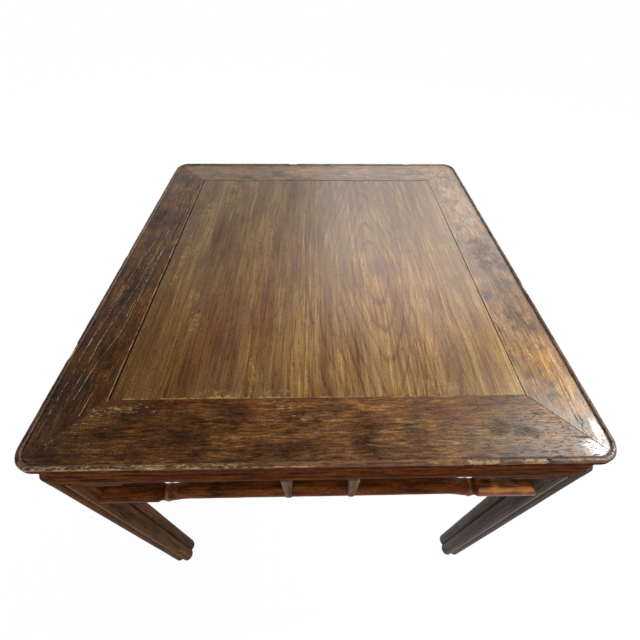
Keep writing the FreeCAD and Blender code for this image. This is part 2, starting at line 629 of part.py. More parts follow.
def stretcher(label, quarter_turns):
    body = new_body(label)
    section = new_sketch(body, "section", "YZ_Plane")
    draw_circle(section, (f"-{lobe_outer}", stretcher_high), cell("stretcher_radius"))
    bend_end = "(Sizes.hump_half + Sizes.hump_run)"
    bend_radius = "((Sizes.hump_run ^ 2 + Sizes.hump_rise ^ 2) / (4 * Sizes.hump_rise))"
    line = [("0", stretcher_high),
            (cell("hump_half"), stretcher_high),
            ("(Sizes.hump_half + Sizes.hump_run / 2)", f"(({stretcher_high} + {stretcher_low}) / 2)",
             (cell("hump_half"), f"({stretcher_high} - {bend_radius})", -1)),
            (bend_end, stretcher_low, (bend_end, f"({stretcher_low} + {bend_radius})", 1)),
            (lobe_inner, stretcher_low)]
    spine = draw(new_sketch(body, "line", "XZ_Plane", lobe_outer), line, closed=False)
    rail = pipe(body, section, spine)
    swell_start = f"({bend_end} + Sizes.node_width)"
    crest_start = f"({swell_start} + Sizes.end_swell)"
    skin = f"({stretcher_low} + Sizes.stretcher_radius)"
    crest, inside = f"({skin} + Sizes.end_swell)", f"({skin} - Sizes.end_swell)"
    swollen_end = revolve(body, "swollen_end", [(swell_start, inside),
                                                (swell_start, skin),
                                                (crest_start, crest, (crest_start, skin, -1)),
                                                (lobe_inner, crest),
                                                (lobe_inner, inside)])
    mouths = []
    for name, lobe_y in (("front", lobe_outer), ("back", lobe_inner)):
        cope = new_sketch(body, f"cope_{name}", "XY_Plane", apron_under)
        draw_circle(cope, (lobe_inner, f"-{lobe_y}"), cell("lobe_radius"))
        mouths.append(extrude(body, "Pocket", cope, "2 * Sizes.stretcher_drop"))
    shoulder = f"({leg_inside} - Sizes.stretcher_tenon_radius)"
    tenon_end = f"({leg_inside} + Sizes.stretcher_tenon_length)"
    tenon_top = f"({stretcher_low} + Sizes.stretcher_tenon_radius)"
    tenon = revolve(body, "tenon", [(shoulder, stretcher_low), (tenon_end, stretcher_low),
                                    (tenon_end, tenon_top), (shoulder, tenon_top)])
    mirror(body, [rail, swollen_end, *mouths, tenon])
    front, back = grown(*around(lobe_outer, cell("strut_tenon_depth")))
    boxes = []
    for place in strut_places:
        left, right = grown(*around(place, cell("strut_tenon_width")))
        boxes.append((left, f"-{back}", right, f"-{front}"))
    top = f"({stretcher_high} + Sizes.stretcher_radius)"
    slab(body, "Pocket", "strut_mortises", f"({top} - Sizes.strut_tenon_length - Sizes.end_fit)", top, boxes)
    turn(body, quarter_turns)
    return body


def strut(label, quarter_turns, place):
    body = new_body(label)
    foot_half = "(Sizes.strut_foot_width / 2)"
    foot_level = f"({stretcher_high} + {foot_half})"
    outline = [(f"({place} - Sizes.strut_width / 2)", apron_under),
               (f"({place} - {foot_half})", foot_level),
               (f"({place} + {foot_half})", foot_level, (place, foot_level, 1)),
               (f"({place} + Sizes.strut_width / 2)", apron_under)]
    sketch = new_sketch(body, "outline", "XZ_Plane", f"({face} - Sizes.strut_depth)")
    extrude(body, "Pad", draw(sketch, outline), cell("strut_depth"))
    saddle = new_sketch(body, "saddle", "YZ_Plane", place)
    draw_circle(saddle, (f"-{lobe_outer}", stretcher_high), cell("stretcher_radius"))
    extrude(body, "Pocket", saddle, "2 * Sizes.strut_width", symmetric=True)
    left, right = around(place, cell("strut_tenon_width"))
    front, back = around(strut_middle, cell("strut_tenon_depth"))
    slab(body, "Pad", "upper_tenon", apron_under, f"({apron_under} + Sizes.strut_tenon_length)",
         [(left, f"-{back}", right, f"-{front}")])
    front, back = around(lobe_outer, cell("strut_tenon_depth"))
    top = f"({stretcher_high} + Sizes.stretcher_radius)"
    slab(body, "Pad", "lower_tenon", f"({top} - Sizes.strut_tenon_length)", top,
         [(left, f"-{back}", right, f"-{front}")])
    turn(body, quarter_turns)
    return body


def pegs(label, places, radius, length, low):
    """A group of upright pegs, one node of separate solids."""
    links = []
    for number, (peg_x, peg_y) in enumerate(places, start=1):
        peg = document.addObject("Part::Cylinder", f"{label}_{number}")
        peg.setExpression("Radius", radius)
        peg.setExpression("Height", length)
        peg.setExpression(".Placement.Base.x", peg_x)
        peg.setExpression(".Placement.Base.y", peg_y)
        peg.setExpression(".Placement.Base.z", low)
        links.append(peg)
    group = document.addObject("Part::Compound", label)
    group.Label = label
    group.Links = links
    return group


SIDES = ("front", "right", "back", "left")
LEGS = ("front_left", "front_right", "back_right", "back_left")

nodes = []
for turns, name in enumerate(SIDES):
    nodes.append(frame_member(f"frame_{name}", turns, tenoned=turns % 2 == 1))
for place, name in ((-1, "left"), (0, "middle"), (1, "right")):
    nodes.append(panel_board(f"panel_board_{name}", place))
for middle, name in zip(batten_places, ("front", "middle", "back")):
    nodes.append(batten(f"batten_{name}", middle))
for turns, name in enumerate(SIDES):
    nodes.append(strip(f"under_edge_strip_{name}", turns))
    nodes.append(apron(f"apron_{name}", turns))
    nodes.append(stretcher(f"stretcher_{name}", turns))
    for side, end in ((-1, "a"), (1, "b")):
        nodes.append(spandrel(f"spandrel_{name}_{end}", turns, side))
    for place, end in zip(strut_places, ("a", "b")):
        nodes.append(strut(f"strut_{name}_{end}", turns, place))
for turns, name in enumerate(LEGS):
    nodes.append(leg(f"leg_{name}", turns))

mitre_pegs = [(f"({a} * {mitre_peg[0]})", f"({b} * {mitre_peg[1]})") for a in (-1, 1) for b in (-1, 1)]
nodes.append(pegs("frame_pegs", mitre_pegs, cell("frame_peg_radius"), cell("frame_peg_length"),
                  frame_under))
strip_pegs = []
for place in strip_peg_places:
    for edge in (f"({strip_peg_y})", f"(-{strip_peg_y})"):
        strip_pegs += [(place, edge), (edge, place)]
nodes.append(pegs("strip_pegs", strip_pegs, cell("strip_peg_radius"), cell("strip_peg_length"),
                  strip_under))

document.recompute()
for item in document.Objects:
    if "Invalid" in item.State or "Error" in item.State:
        raise RuntimeError(f"{item.Label} failed: {item.State}")
os.makedirs("parts", exist_ok=True)
for node in nodes:
    shape = node.Shape
    if shape.isNull() or not shape.isValid():
        raise RuntimeError(f"{node.Label} has no valid shape")
for node in nodes:
    node.Shape.exportStep(f"parts/{node.Label}.step")
    print(node.Label, len(node.Shape.Solids), "solid", round(node.Shape.Volume / 1000, 1), "cm3")
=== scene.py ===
import math

import bpy
import numpy as np
from mathutils import Matrix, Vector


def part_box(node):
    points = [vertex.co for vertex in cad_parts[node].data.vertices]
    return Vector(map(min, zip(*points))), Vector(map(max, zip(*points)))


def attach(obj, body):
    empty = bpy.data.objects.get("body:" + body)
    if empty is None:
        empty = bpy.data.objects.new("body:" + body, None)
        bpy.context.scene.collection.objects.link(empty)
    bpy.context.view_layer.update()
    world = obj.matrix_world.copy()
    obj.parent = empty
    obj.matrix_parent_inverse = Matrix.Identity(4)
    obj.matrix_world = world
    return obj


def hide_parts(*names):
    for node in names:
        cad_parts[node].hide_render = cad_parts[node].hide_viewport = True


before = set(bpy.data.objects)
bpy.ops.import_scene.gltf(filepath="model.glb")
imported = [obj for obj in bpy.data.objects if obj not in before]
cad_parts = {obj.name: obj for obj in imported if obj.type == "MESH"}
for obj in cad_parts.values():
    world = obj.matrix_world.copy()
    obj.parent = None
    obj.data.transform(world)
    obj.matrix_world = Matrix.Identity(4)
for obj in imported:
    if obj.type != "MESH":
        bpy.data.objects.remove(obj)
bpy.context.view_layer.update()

# Square Chinese table of old waxed elm. The pieces are drawn in millimetres on the table's own axes, +Z up
# and the front towards -Y, and turn to metres as their meshes are made. Floor, lamps and camera are placed
# in metres.

mm = 0.001
sides = ("front", "right", "back", "left")
corners = ("front_left", "front_right", "back_right", "back_left")


def boxOf(node):
    # lowest and highest corner of a CAD node, in millimetres
    low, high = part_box(node)
    return np.array(low) / mm, np.array(high) / mm


def toLinear(hexColour):
    # sRGB to linear: a straight line near black, above it a power of 2.4
    parts = np.array([int(hexColour[start:start + 2], 16) for start in (1, 3, 5)]) / 255
    linear = np.where(parts <= 0.04045, parts / 12.92, ((parts + 0.055) / 1.055) ** 2.4)
    return (*(float(part) for part in linear), 1.0)


def add(tree, kind, inputs=None, stops=None, **settings):
    # adds a node; an input takes a number, a socket or another node's first output
    node = tree.nodes.new("ShaderNode" + kind)
    for name, item in settings.items():
        setattr(node, name, item)
    for key, item in (inputs or {}).items():
        if isinstance(item, bpy.types.Node):
            item = item.outputs[0]
        if isinstance(item, bpy.types.NodeSocket):
            tree.links.new(item, node.inputs[key])
        else:
            node.inputs[key].default_value = item
    for number, (position, colour) in enumerate(stops or ()):
        if number > 1:
            node.color_ramp.elements.new(position)
        element = node.color_ramp.elements[number]
        element.position = position
        element.color = toLinear(colour) if isinstance(colour, str) else (colour, colour, colour, 1)
    return node


def fromTo(source, target):
    # limits of a straight change from one pair of values to another
    return dict(zip(("From Min", "From Max", "To Min", "To Max"), (*source, *target)))


def clearedTree(owner):
    # the emptied node tree of a material or a world
    owner.use_nodes = True
    owner.node_tree.nodes.clear()
    return owner.node_tree


def newObject(name, data):
    # a mesh, lamp or camera put into the scene
    holder = bpy.data.objects.new(name, data)
    bpy.context.scene.collection.objects.link(holder)
    return holder


# The places that several pieces share, read from the CAD boxes.
(_, frameFront, frameUnder), (_, _, top) = boxOf("frame_front")
(_, apronFront, apronUnder), _ = boxOf("apron_front")
(_, _, stripUnder), _ = boxOf("under_edge_strip_front")
_, (_, _, stretcherTop) = boxOf("stretcher_front")
half, face = -frameFront, -apronFront
legWidth = 52.0
legAxis = face - legWidth / 2
lobe = {"radius": 15.0, "shift": 11.0}
sweptSharp, cutSharp, easedSharp = 38, 30, 40  # angles in degrees past which an edge counts as sharp
print("frame read: half %.1f, top %.1f, face %.1f, leg axis %.1f" % (half, top, face, legAxis))


def smoothNoise(x, y, size, seed):
    # value noise from -1 to 1: random heights on a square lattice of that size, eased between its points
    lattice = np.random.default_rng(seed).random((64, 64)) * 2 - 1
    column, row = np.floor(x / size), np.floor(y / size)
    across, up = x / size - column, y / size - row
    across, up = across * across * (3 - 2 * across), up * up * (3 - 2 * up)
    column, row = column.astype(int) % 64, row.astype(int) % 64
    nextColumn, nextRow = (column + 1) % 64, (row + 1) % 64
    near = lattice[row, column] * (1 - across) + lattice[row, nextColumn] * across
    far = lattice[nextRow, column] * (1 - across) + lattice[nextRow, nextColumn] * across
    return near * (1 - up) + far * up


def patchy(x, y, size, seed):
    # the same noise moved to 0 to 1
    return 0.5 + 0.5 * smoothNoise(x, y, size, seed)


def ease(low, high, value):
    # 0 at low, 1 at high, level outside them and a smooth step between
    part = np.clip((value - low) / (high - low), 0, 1)
    return part * part * (3 - 2 * part)


def bell(value, middle, width):
    # 1 at the middle, falling off as e to minus the square of the distance over the width
    return np.exp(-((value - middle) / width) ** 2)


def gridOf(x, y, z):
    # three arrays, spread to one shape, as an array of points
    return np.stack(np.broadcast_arrays(x, y, z), axis=-1)


def turned(points, quarterTurns):
    # a piece drawn at the front, turned about the upright axis to another side
    x, y, z = np.moveaxis(points, -1, 0)
    for _ in range(quarterTurns):
        x, y = -y, x
    return gridOf(x, y, z)


def line(start, finish, count):
    # evenly spaced points from start up to, but without, finish
    share = np.arange(count)[:, None] / count
    return np.array(start) * (1 - share) + np.array(finish) * share


def arc(middle, radius, fromAngle, toAngle, count):
    # points on a circle from one angle up to, but without, the other, in degrees
    angle = np.radians(fromAngle + (toAngle - fromAngle) * np.arange(count) / count)
    return np.stack([middle[0] + radius * np.cos(angle), middle[1] + radius * np.sin(angle)], axis=1)


def makePiece(node, turns, points, faces, insideOut, sharpAngle, material):
    # a smooth mesh with its sharp edges marked, turned to its side of the table, that stands in for a CAD
    # node and is named after it; faces that point inwards have the order of their corners reversed
    first, *words = node.replace("frame", "top_frame").split("_")
    name = first + "".join(word.capitalize() for word in words)
    if insideOut:
        faces = [ring[::-1] for ring in faces]
    mesh = bpy.data.meshes.new(name)
    mesh.from_pydata((turned(points, turns) * mm).tolist(), [], faces)
    mesh.update()
    mesh.shade_smooth()
    mesh.set_sharp_from_angle(angle=math.radians(sharpAngle))
    mesh.materials.append(material)
    piece = newObject(name, mesh)
    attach(piece, "root")
    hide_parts(node)
    return piece


def surface(node, turns, grid, material, marks):
    # a grid of points, rows along the piece and columns round its section, becomes quads closed round the
    # section and capped at both ends; the sign of the enclosed volume tells which way the faces point
    rows, columns = grid.shape[:2]
    number = np.arange(rows * columns).reshape(rows, columns)
    beside = np.roll(number, -1, axis=1)
    quads = np.stack([number[:-1], beside[:-1], beside[1:], number[1:]], axis=-1).reshape(-1, 4)
    points = grid.reshape(-1, 3)
    a, b, c, d = np.moveaxis(points[quads] - points.mean(axis=0), 1, 0)
    volume = np.sum(a * np.cross(b, c)) + np.sum(a * np.cross(c, d))
    faces = quads.tolist() + [number[0][::-1].tolist(), number[-1].tolist()]
    piece = makePiece(node, turns, points, faces, volume < 0, sweptSharp, material)
    for label, amount in marks.items():
        layer = piece.data.attributes.new(label, "FLOAT", "POINT")
        layer.data.foreach_set("value", np.broadcast_to(amount, (rows, columns)).astype(np.float32).ravel())


def mitredSweep(profile, along, gaps):
    # a moulding from mitre to mitre: each profile point (distance out, height) runs straight as far as the
    # centre of the rounded corner and then round it; along is -1 at the left mitre and 1 at the right one,
    # and gaps are how far each end stands back from its mitre, fading out fast away from it
    out, height = profile.T
    along = along[:, None]
    centre = half - member["cornerRadius"]
    beyond = np.maximum(out - centre, 0)
    inside = np.minimum(out, centre)
    gap = np.where(along > 0, gaps[1], gaps[0]) * math.sqrt(0.5)
    travel = along * (inside + beyond * math.pi / 4 - gap * np.abs(along) ** 60)
    straight = np.clip(travel, -inside, inside)
    angle = (travel - straight) / np.maximum(beyond, 1e-6)
    return gridOf(straight + beyond * np.sin(angle), -(inside + beyond * np.cos(angle)), height)


def lateWood(tree, bent, cloud, tone, pith):
    # darkens the tone in thin lines at equal steps of the distance across from the flame's middle and, near
    # it, a share of the distance along the grain, so that they close round it to a long oval
    parts = add(tree, "SeparateXYZ", {0: bent})
    away = {}
    for axis, middle in pith["middle"].items():
        shift = add(tree, "Math", {0: parts.outputs[axis], 1: middle * mm}, operation="SUBTRACT")
        shift = add(tree, "CombineXYZ", {0: shift, 1: pith["depth"] * mm})
        away[axis] = add(tree, "VectorMath", {0: shift}, operation="LENGTH").outputs["Value"]
    reach = [end * mm for end in pith["reach"]]
    near = add(tree, "MapRange", {"Value": away["X"], **fromTo(reach, (pith["slope"], 0.0))},
               interpolation_type="SMOOTHSTEP")
    oval = add(tree, "Math", {0: away["Y"], 1: near, 2: away["X"]}, operation="MULTIPLY_ADD")
    bands = add(tree, "Math", {0: oval, 1: 1 / (pith["spacing"] * mm), 2: cloud}, operation="MULTIPLY_ADD")
    bands = add(tree, "Math", {0: bands}, operation="FRACT")
    bands = add(tree, "ValToRGB", {"Fac": bands}, stops=pith["band"])
    weight = fromTo((0.0, pith["slope"]), (-pith["shareFar"], -pith["share"]))
    weight = add(tree, "MapRange", {"Value": near, **weight})
    return add(tree, "Math", {0: bands, 1: weight, 2: tone}, operation="MULTIPLY_ADD")


def makeWood(name, look):
    # waxed old wood: fibres, streaks and soft clouds added up to one tone, a second hue, pale flecks and
    # dark stains in patches, fine speckle and dark pores. The mesh marks where it is bleached or painted
    # lighter as painted light, amber or ruddy with age, worn bare or given a painted highlight, dark with
    # dirt and painted shade, and where its sheen is polished or dull
    material = bpy.data.materials.new(name)
    tree = clearedTree(material)
    seed = look["seed"]
    spot = add(tree, "TexCoord").outputs["Object"]
    mark = {label: add(tree, "Attribute", attribute_name=label).outputs["Fac"]
            for label in ("worn", "dark", "polish", "dull", "bleach", "amber", "ruddy")}

    def pattern(place, cell, detail, roughness, shift=(0, 0, 0)):
        # fractal noise in cells given in mm: length with the grain, width across it
        scale = [1 / (cell[1] * mm)] * 3
        scale["xyz".index(look["grain"])] = 1 / (cell[0] * mm)
        cells = add(tree, "Mapping", {"Vector": place, "Location": shift, "Scale": scale})
        return add(tree, "TexNoise", {"Vector": cells, "Scale": 1, "Detail": detail, "Roughness": roughness})

    drift = pattern(spot, look["driftCell"], 2, 0.5, (seed, seed, 0)).outputs["Color"]
    drift = add(tree, "VectorMath", {0: drift, 1: (0.5, 0.5, 0.5)}, operation="SUBTRACT")
    drift = add(tree, "VectorMath", {0: drift, "Scale": look["drift"] * mm}, operation="SCALE")
    bent = add(tree, "VectorMath", {0: spot, 1: drift}, operation="ADD")
    layers = {}
    for number, (label, (*cell, detail)) in enumerate(look["layers"].items()):
        layers[label] = pattern(bent, cell, detail, 0.62, (seed + number * 3.7, number * 1.9, seed))
    speckle, grit = pattern(spot, look["speckleCell"], 3, 0.7), pattern(spot, look["gritCell"], 5, 0.66)
    tone = 0.0
    for label, share in look["shares"].items():
        tone = add(tree, "Math", {0: layers[label], 1: share, 2: tone}, operation="MULTIPLY_ADD")
    if "pith" in look:
        tone = lateWood(tree, bent, layers["cloud"], tone, look["pith"])
    wood = add(tree, "ValToRGB", {"Fac": tone}, stops=look["tones"])
    for label in ("tint", "fleck", "stain"):
        mask = add(tree, "ValToRGB", {"Fac": layers[label]}, stops=look[label + "Edge"])
        wood = add(tree, "MixRGB", {"Fac": mask, "Color1": wood, "Color2": toLinear(look[label])})

    # value from speckle and from bleaching and painted light, hue from ruddiness, saturation from amber
    value = fromTo(look["speckleRange"], (1 - look["speckle"], 1 + look["speckle"]))
    value = add(tree, "MapRange", {"Value": speckle, **value})
    value = add(tree, "Math", {0: mark["bleach"], 1: look["bleach"], 2: value}, operation="MULTIPLY_ADD")
    hue = add(tree, "Math", {0: 0.5, 1: mark["ruddy"]}, operation="SUBTRACT")
    amber = add(tree, "Math", {0: mark["amber"], 1: 1.0}, operation="ADD")
    wood = add(tree, "HueSaturation", {"Hue": hue, "Saturation": amber, "Value": value, "Color": wood})

    # pores, then bare wood and painted highlights, and then dirt and painted shade, each with an edge
    # broken up by the grit
    pores = add(tree, "ValToRGB", {"Fac": layers["pore"]}, stops=zip(look["poreEdge"], (look["pores"], 0.0)))
    wood = add(tree, "MixRGB", {"Fac": pores, "Color1": wood, "Color2": toLinear(look["dirt"])})
    worn = add(tree, "Math", {0: mark["worn"], 1: grit}, operation="ADD")
    worn = add(tree, "ValToRGB", {"Fac": worn}, stops=look["wornEdge"])
    bare = add(tree, "MixRGB", {"Fac": layers["fibre"], "Color1": toLinear(look["wornDark"]),
                                "Color2": toLinear(look["worn"])})
    wood = add(tree, "MixRGB", {"Fac": worn, "Color1": wood, "Color2": bare})
    broken = add(tree, "MapRange", {"Value": grit, **fromTo(look["middleTones"], look["dirtBreak"])})
    dark = add(tree, "Math", {0: mark["dark"], 1: broken}, operation="MULTIPLY", use_clamp=True)
    wood = add(tree, "MixRGB", {"Fac": dark, "Color1": wood, "Color2": toLinear(look["dirt"])})

    # pale and bare wood is rougher, polished wood smoother and glossier; dull wood, and wood darkened by
    # dirt and painted shade, has no gloss
    rough = add(tree, "MapRange", {"Value": tone, **fromTo(look["middleTones"], look["roughness"])})
    for amount, change in ((worn, look["wornRough"]), (mark["polish"], -look["polishDrop"])):
        rough = add(tree, "Math", {0: amount, 1: change, 2: rough}, operation="MULTIPLY_ADD")
    gloss = {0: mark["polish"], 1: look["polishGloss"], 2: look["gloss"]}
    gloss = add(tree, "Math", gloss, operation="MULTIPLY_ADD")
    dull = add(tree, "Math", {0: mark["dull"], 1: dark}, operation="MAXIMUM")
    shine = add(tree, "Math", {0: 1.0, 1: dull}, operation="SUBTRACT")
    gloss = add(tree, "Math", {0: gloss, 1: shine}, operation="MULTIPLY")
    height = add(tree, "Math", {0: layers["fibre"], 1: 0.5, 2: layers["streak"]}, operation="MULTIPLY_ADD")
    height = add(tree, "Math", {0: height, 1: pores}, operation="SUBTRACT")
    bump = add(tree, "Bump", {"Height": height, "Distance": look["relief"] * mm, "Strength": 1})
    finish = {"Base Color": wood, "Roughness": rough, "Specular IOR Level": gloss, "Normal": bump}
    add(tree, "OutputMaterial", {"Surface": add(tree, "BsdfPrincipled", finish)})
    return material


# Old elm under thin worn lacquer: its open grain still shows, nearly black to olive, with a soft dull sheen.
elm = {
    "grain": "x", "seed": 1.0, "drift": 7, "driftCell": (110, 50),
    # cells in mm: length with the grain, width across it, fractal detail
    "layers": {"streak": (110, 6, 4), "fibre": (22, 2.6, 5), "cloud": (60, 34, 6), "tint": (90, 44, 5),
               "fleck": (16, 2.4, 4), "stain": (64, 36, 6), "pore": (11, 2.2, 2)},
    "shares": {"fibre": 0.46, "streak": 0.24, "cloud": 0.30},
    "tones": [(0.38, "#1F0B03"), (0.46, "#371D0A"), (0.54, "#513217"), (0.63, "#725129")],
    "tint": "#432510", "tintEdge": [(0.48, 0.0), (0.66, 0.5)],
    "fleck": "#7E6241", "fleckEdge": [(0.60, 0.0), (0.76, 0.45)],
    "stain": "#0F0907", "stainEdge": [(0.52, 0.0), (0.70, 0.75)],
    # fine mottling: cell in mm, which part of the noise counts, and how far it takes the value up and down
    "speckleCell": (3.2, 1.9), "speckleRange": (0.3, 0.7), "speckle": 0.62,
    "bleach": 0.8, "pores": 0.7, "poreEdge": (0.32, 0.43), "dirt": "#080503", "gritCell": (7, 1.5),
    "worn": "#AE946A", "wornDark": "#5A4226", "wornEdge": [(0.88, 0.0), (1.12, 0.9)], "wornRough": 0.15,
    # the middle of the noises' range, and what it makes of dirt and of roughness
    "middleTones": (0.35, 0.65), "dirtBreak": (0.45, 1.35), "roughness": (0.29, 0.40),
    "gloss": 0.27, "polishDrop": 0.16, "polishGloss": 0.65, "relief": 0.25,
}
# The right and back members: paler and greyer as a painted sheen from the light at the back right, with
# smoky blots in their lacquer.
paleSheenElm = {
    **elm, "layers": {**elm["layers"], "cloud": (70, 30, 6), "stain": (40, 30, 6), "fibre": (30, 2.4, 5)},
    "tones": [(0.36, "#2B190B"), (0.45, "#442D18"), (0.53, "#5A432A"), (0.62, "#745D3E")],
    "tint": "#503F34", "tintEdge": [(0.46, 0.0), (0.62, 0.6)],
    "fleck": "#856E52", "stain": "#201C1C", "stainEdge": [(0.50, 0.0), (0.64, 0.7)],
    "speckleCell": (2.8, 2.0), "gloss": 0.38, "pores": 0.4,
}
frameWoods = {
    "front": makeWood("frontMemberLacqueredElm", elm),
    "right": makeWood("rightMemberLacqueredElm", {**paleSheenElm, "grain": "y", "seed": 5.0}),
    "back": makeWood("backMemberLacqueredElm", {**paleSheenElm, "seed": 9.0}),
    "left": makeWood("leftMemberLacqueredElm", {**elm, "grain": "y", "seed": 14.0}),
}
# Panel boards: plain sawn elm, straight figure with one flame right of the middle, rubbed golden olive.
panelLook = {
    **elm, "grain": "y", "seed": 3.0, "drift": 10, "driftCell": (200, 70),
    "layers": {"streak": (480, 7, 4), "fibre": (110, 3.0, 4), "cloud": (220, 40, 4), "tint": (190, 50, 4),
               "fleck": (60, 3.0, 4), "stain": (220, 50, 4), "pore": (16, 2.6, 2)},
    "shares": {"fibre": 0.40, "streak": 0.28, "cloud": 0.32},
    "pith": {"middle": {"X": 126.0, "Y": -41.0}, "depth": 26.0, "reach": (60.0, 230.0), "slope": 0.2,
             "spacing": 14.0, "share": 0.08, "shareFar": 0.02,
             "band": [(0.0, 0.0), (0.66, 0.08), (0.88, 1.0), (1.0, 0.0)]},
    "tones": [(0.35, "#341C0A"), (0.43, "#4A2F17"), (0.51, "#5C4425"), (0.59, "#6F5836")],
    "tint": "#4D3927", "tintEdge": [(0.46, 0.0), (0.64, 0.6)],
    "fleck": "#7E6C46", "fleckEdge": [(0.62, 0.0), (0.78, 0.45)],
    "stain": "#35261A", "stainEdge": [(0.52, 0.0), (0.72, 0.5)], "speckleCell": (3.0, 2.0), "speckle": 0.52,
    "pores": 0.5, "worn": "#A4874A", "wornDark": "#7A602E", "wornEdge": [(0.86, 0.0), (1.18, 0.7)],
    "roughness": (0.30, 0.38), "gloss": 0.38, "relief": 0.08,
}
panelWood = makeWood("panelOiledElm", panelLook)
# Canes under the edge: the same wood kept darker and redder, dull with dirt in the valleys.
railLook = {
    **elm, "seed": 21.0,
    "layers": {"streak": (90, 4, 4), "fibre": (40, 2.0, 4), "cloud": (60, 12, 4), "tint": (90, 12, 3),
               "fleck": (30, 1.8, 3), "stain": (70, 6, 4), "pore": (8, 0.8, 1)},
    "shares": {"fibre": 0.3, "streak": 0.3, "cloud": 0.4},
    "tones": [(0.36, "#240D04"), (0.46, "#3C1B08"), (0.54, "#52290E"), (0.66, "#6C3D19")],
    "tint": "#6A3110", "tintEdge": [(0.52, 0.0), (0.68, 0.5)],
    "fleck": "#8E5E3C", "fleckEdge": [(0.66, 0.0), (0.80, 0.4)],
    "stain": "#0D0504", "stainEdge": [(0.54, 0.0), (0.66, 0.68)], "speckleCell": (7, 1.6), "speckle": 0.25,
    "worn": "#A37C66", "wornDark": "#5E3320", "roughness": (0.34, 0.46), "gloss": 0.005, "polishGloss": 0.9,
}
# One wood for front and back and one for the sides, twice, so that each side of the table finds its own.
railWoods = [makeWood("caneElmFrontAndBack", railLook),
             makeWood("caneElmSides", {**railLook, "grain": "y", "seed": 27.0})] * 2
# Stretchers: rubbed by hands and feet, so browner, honey coloured where bare and glossy where polished;
# the right ends are painted paler and more golden as painted light.
stretcherLook = {
    **railLook, "layers": {**railLook["layers"], "stain": (60, 14, 4), "streak": (120, 7, 3)},
    "tones": [(0.36, "#2C1406"), (0.46, "#44200A"), (0.54, "#5F3211"), (0.66, "#7E4C1E")],
    "worn": "#CC842C", "wornDark": "#8E521C", "wornEdge": [(0.78, 0.0), (1.3, 0.9)],
    "gloss": 0.04, "polishDrop": 0.22, "polishGloss": 0.6,
}
stretcherWoods = [makeWood("stretcherElmFrontAndBack", stretcherLook),
                  makeWood("stretcherElmSides", {**stretcherLook, "grain": "y", "seed": 33.0})] * 2
# Legs and struts: the lacquer has gone thin here; the left legs are brown and the right ones grey, a
# painted sheen of reflected light.
legLook = {
    **elm, "grain": "z", "seed": 41.0, "roughness": (0.4, 0.5), "gloss": 0.008,
    "layers": {"streak": (220, 6, 4), "fibre": (50, 1.3, 4), "cloud": (160, 16, 3), "tint": (160, 16, 3),
               "fleck": (40, 2, 3), "stain": (160, 14, 4), "pore": (9, 0.8, 1)},
    "shares": {"fibre": 0.34, "streak": 0.36, "cloud": 0.30}, "speckleCell": (8, 1.6), "speckle": 0.25,
    "tones": [(0.38, "#27170B"), (0.46, "#412915"), (0.54, "#583A20"), (0.63, "#755132")],
    "tint": "#482914", "fleck": "#6A4E36", "stain": "#120A07", "worn": "#A8682E", "wornDark": "#5A3418",
}
sheenGreyLegLook = {
    **legLook, "seed": 44.0, "gloss": 0.05, "worn": "#8E8074", "wornDark": "#54483E", "tint": "#33241B",
    "tones": [(0.40, "#18110D"), (0.46, "#2E221A"), (0.54, "#433328"), (0.62, "#624F42")],
}
legWoods = {"left": makeWood("leftLegElm", legLook), "right": makeWood("rightLegGreyedElm", sheenGreyLegLook)}
strutWood = makeWood("strutElm", {
    **legLook, "seed": 47.0, "worn": "#A89A8A", "wornDark": "#6A5B4C",
    "tones": [(0.37, "#463226"), (0.46, "#5C4434"), (0.54, "#715745"), (0.64, "#8C735F")]})
battenWood = makeWood("battenElm", {**elm, "seed": 51.0, "gloss": 0.02})
print("woods ready")
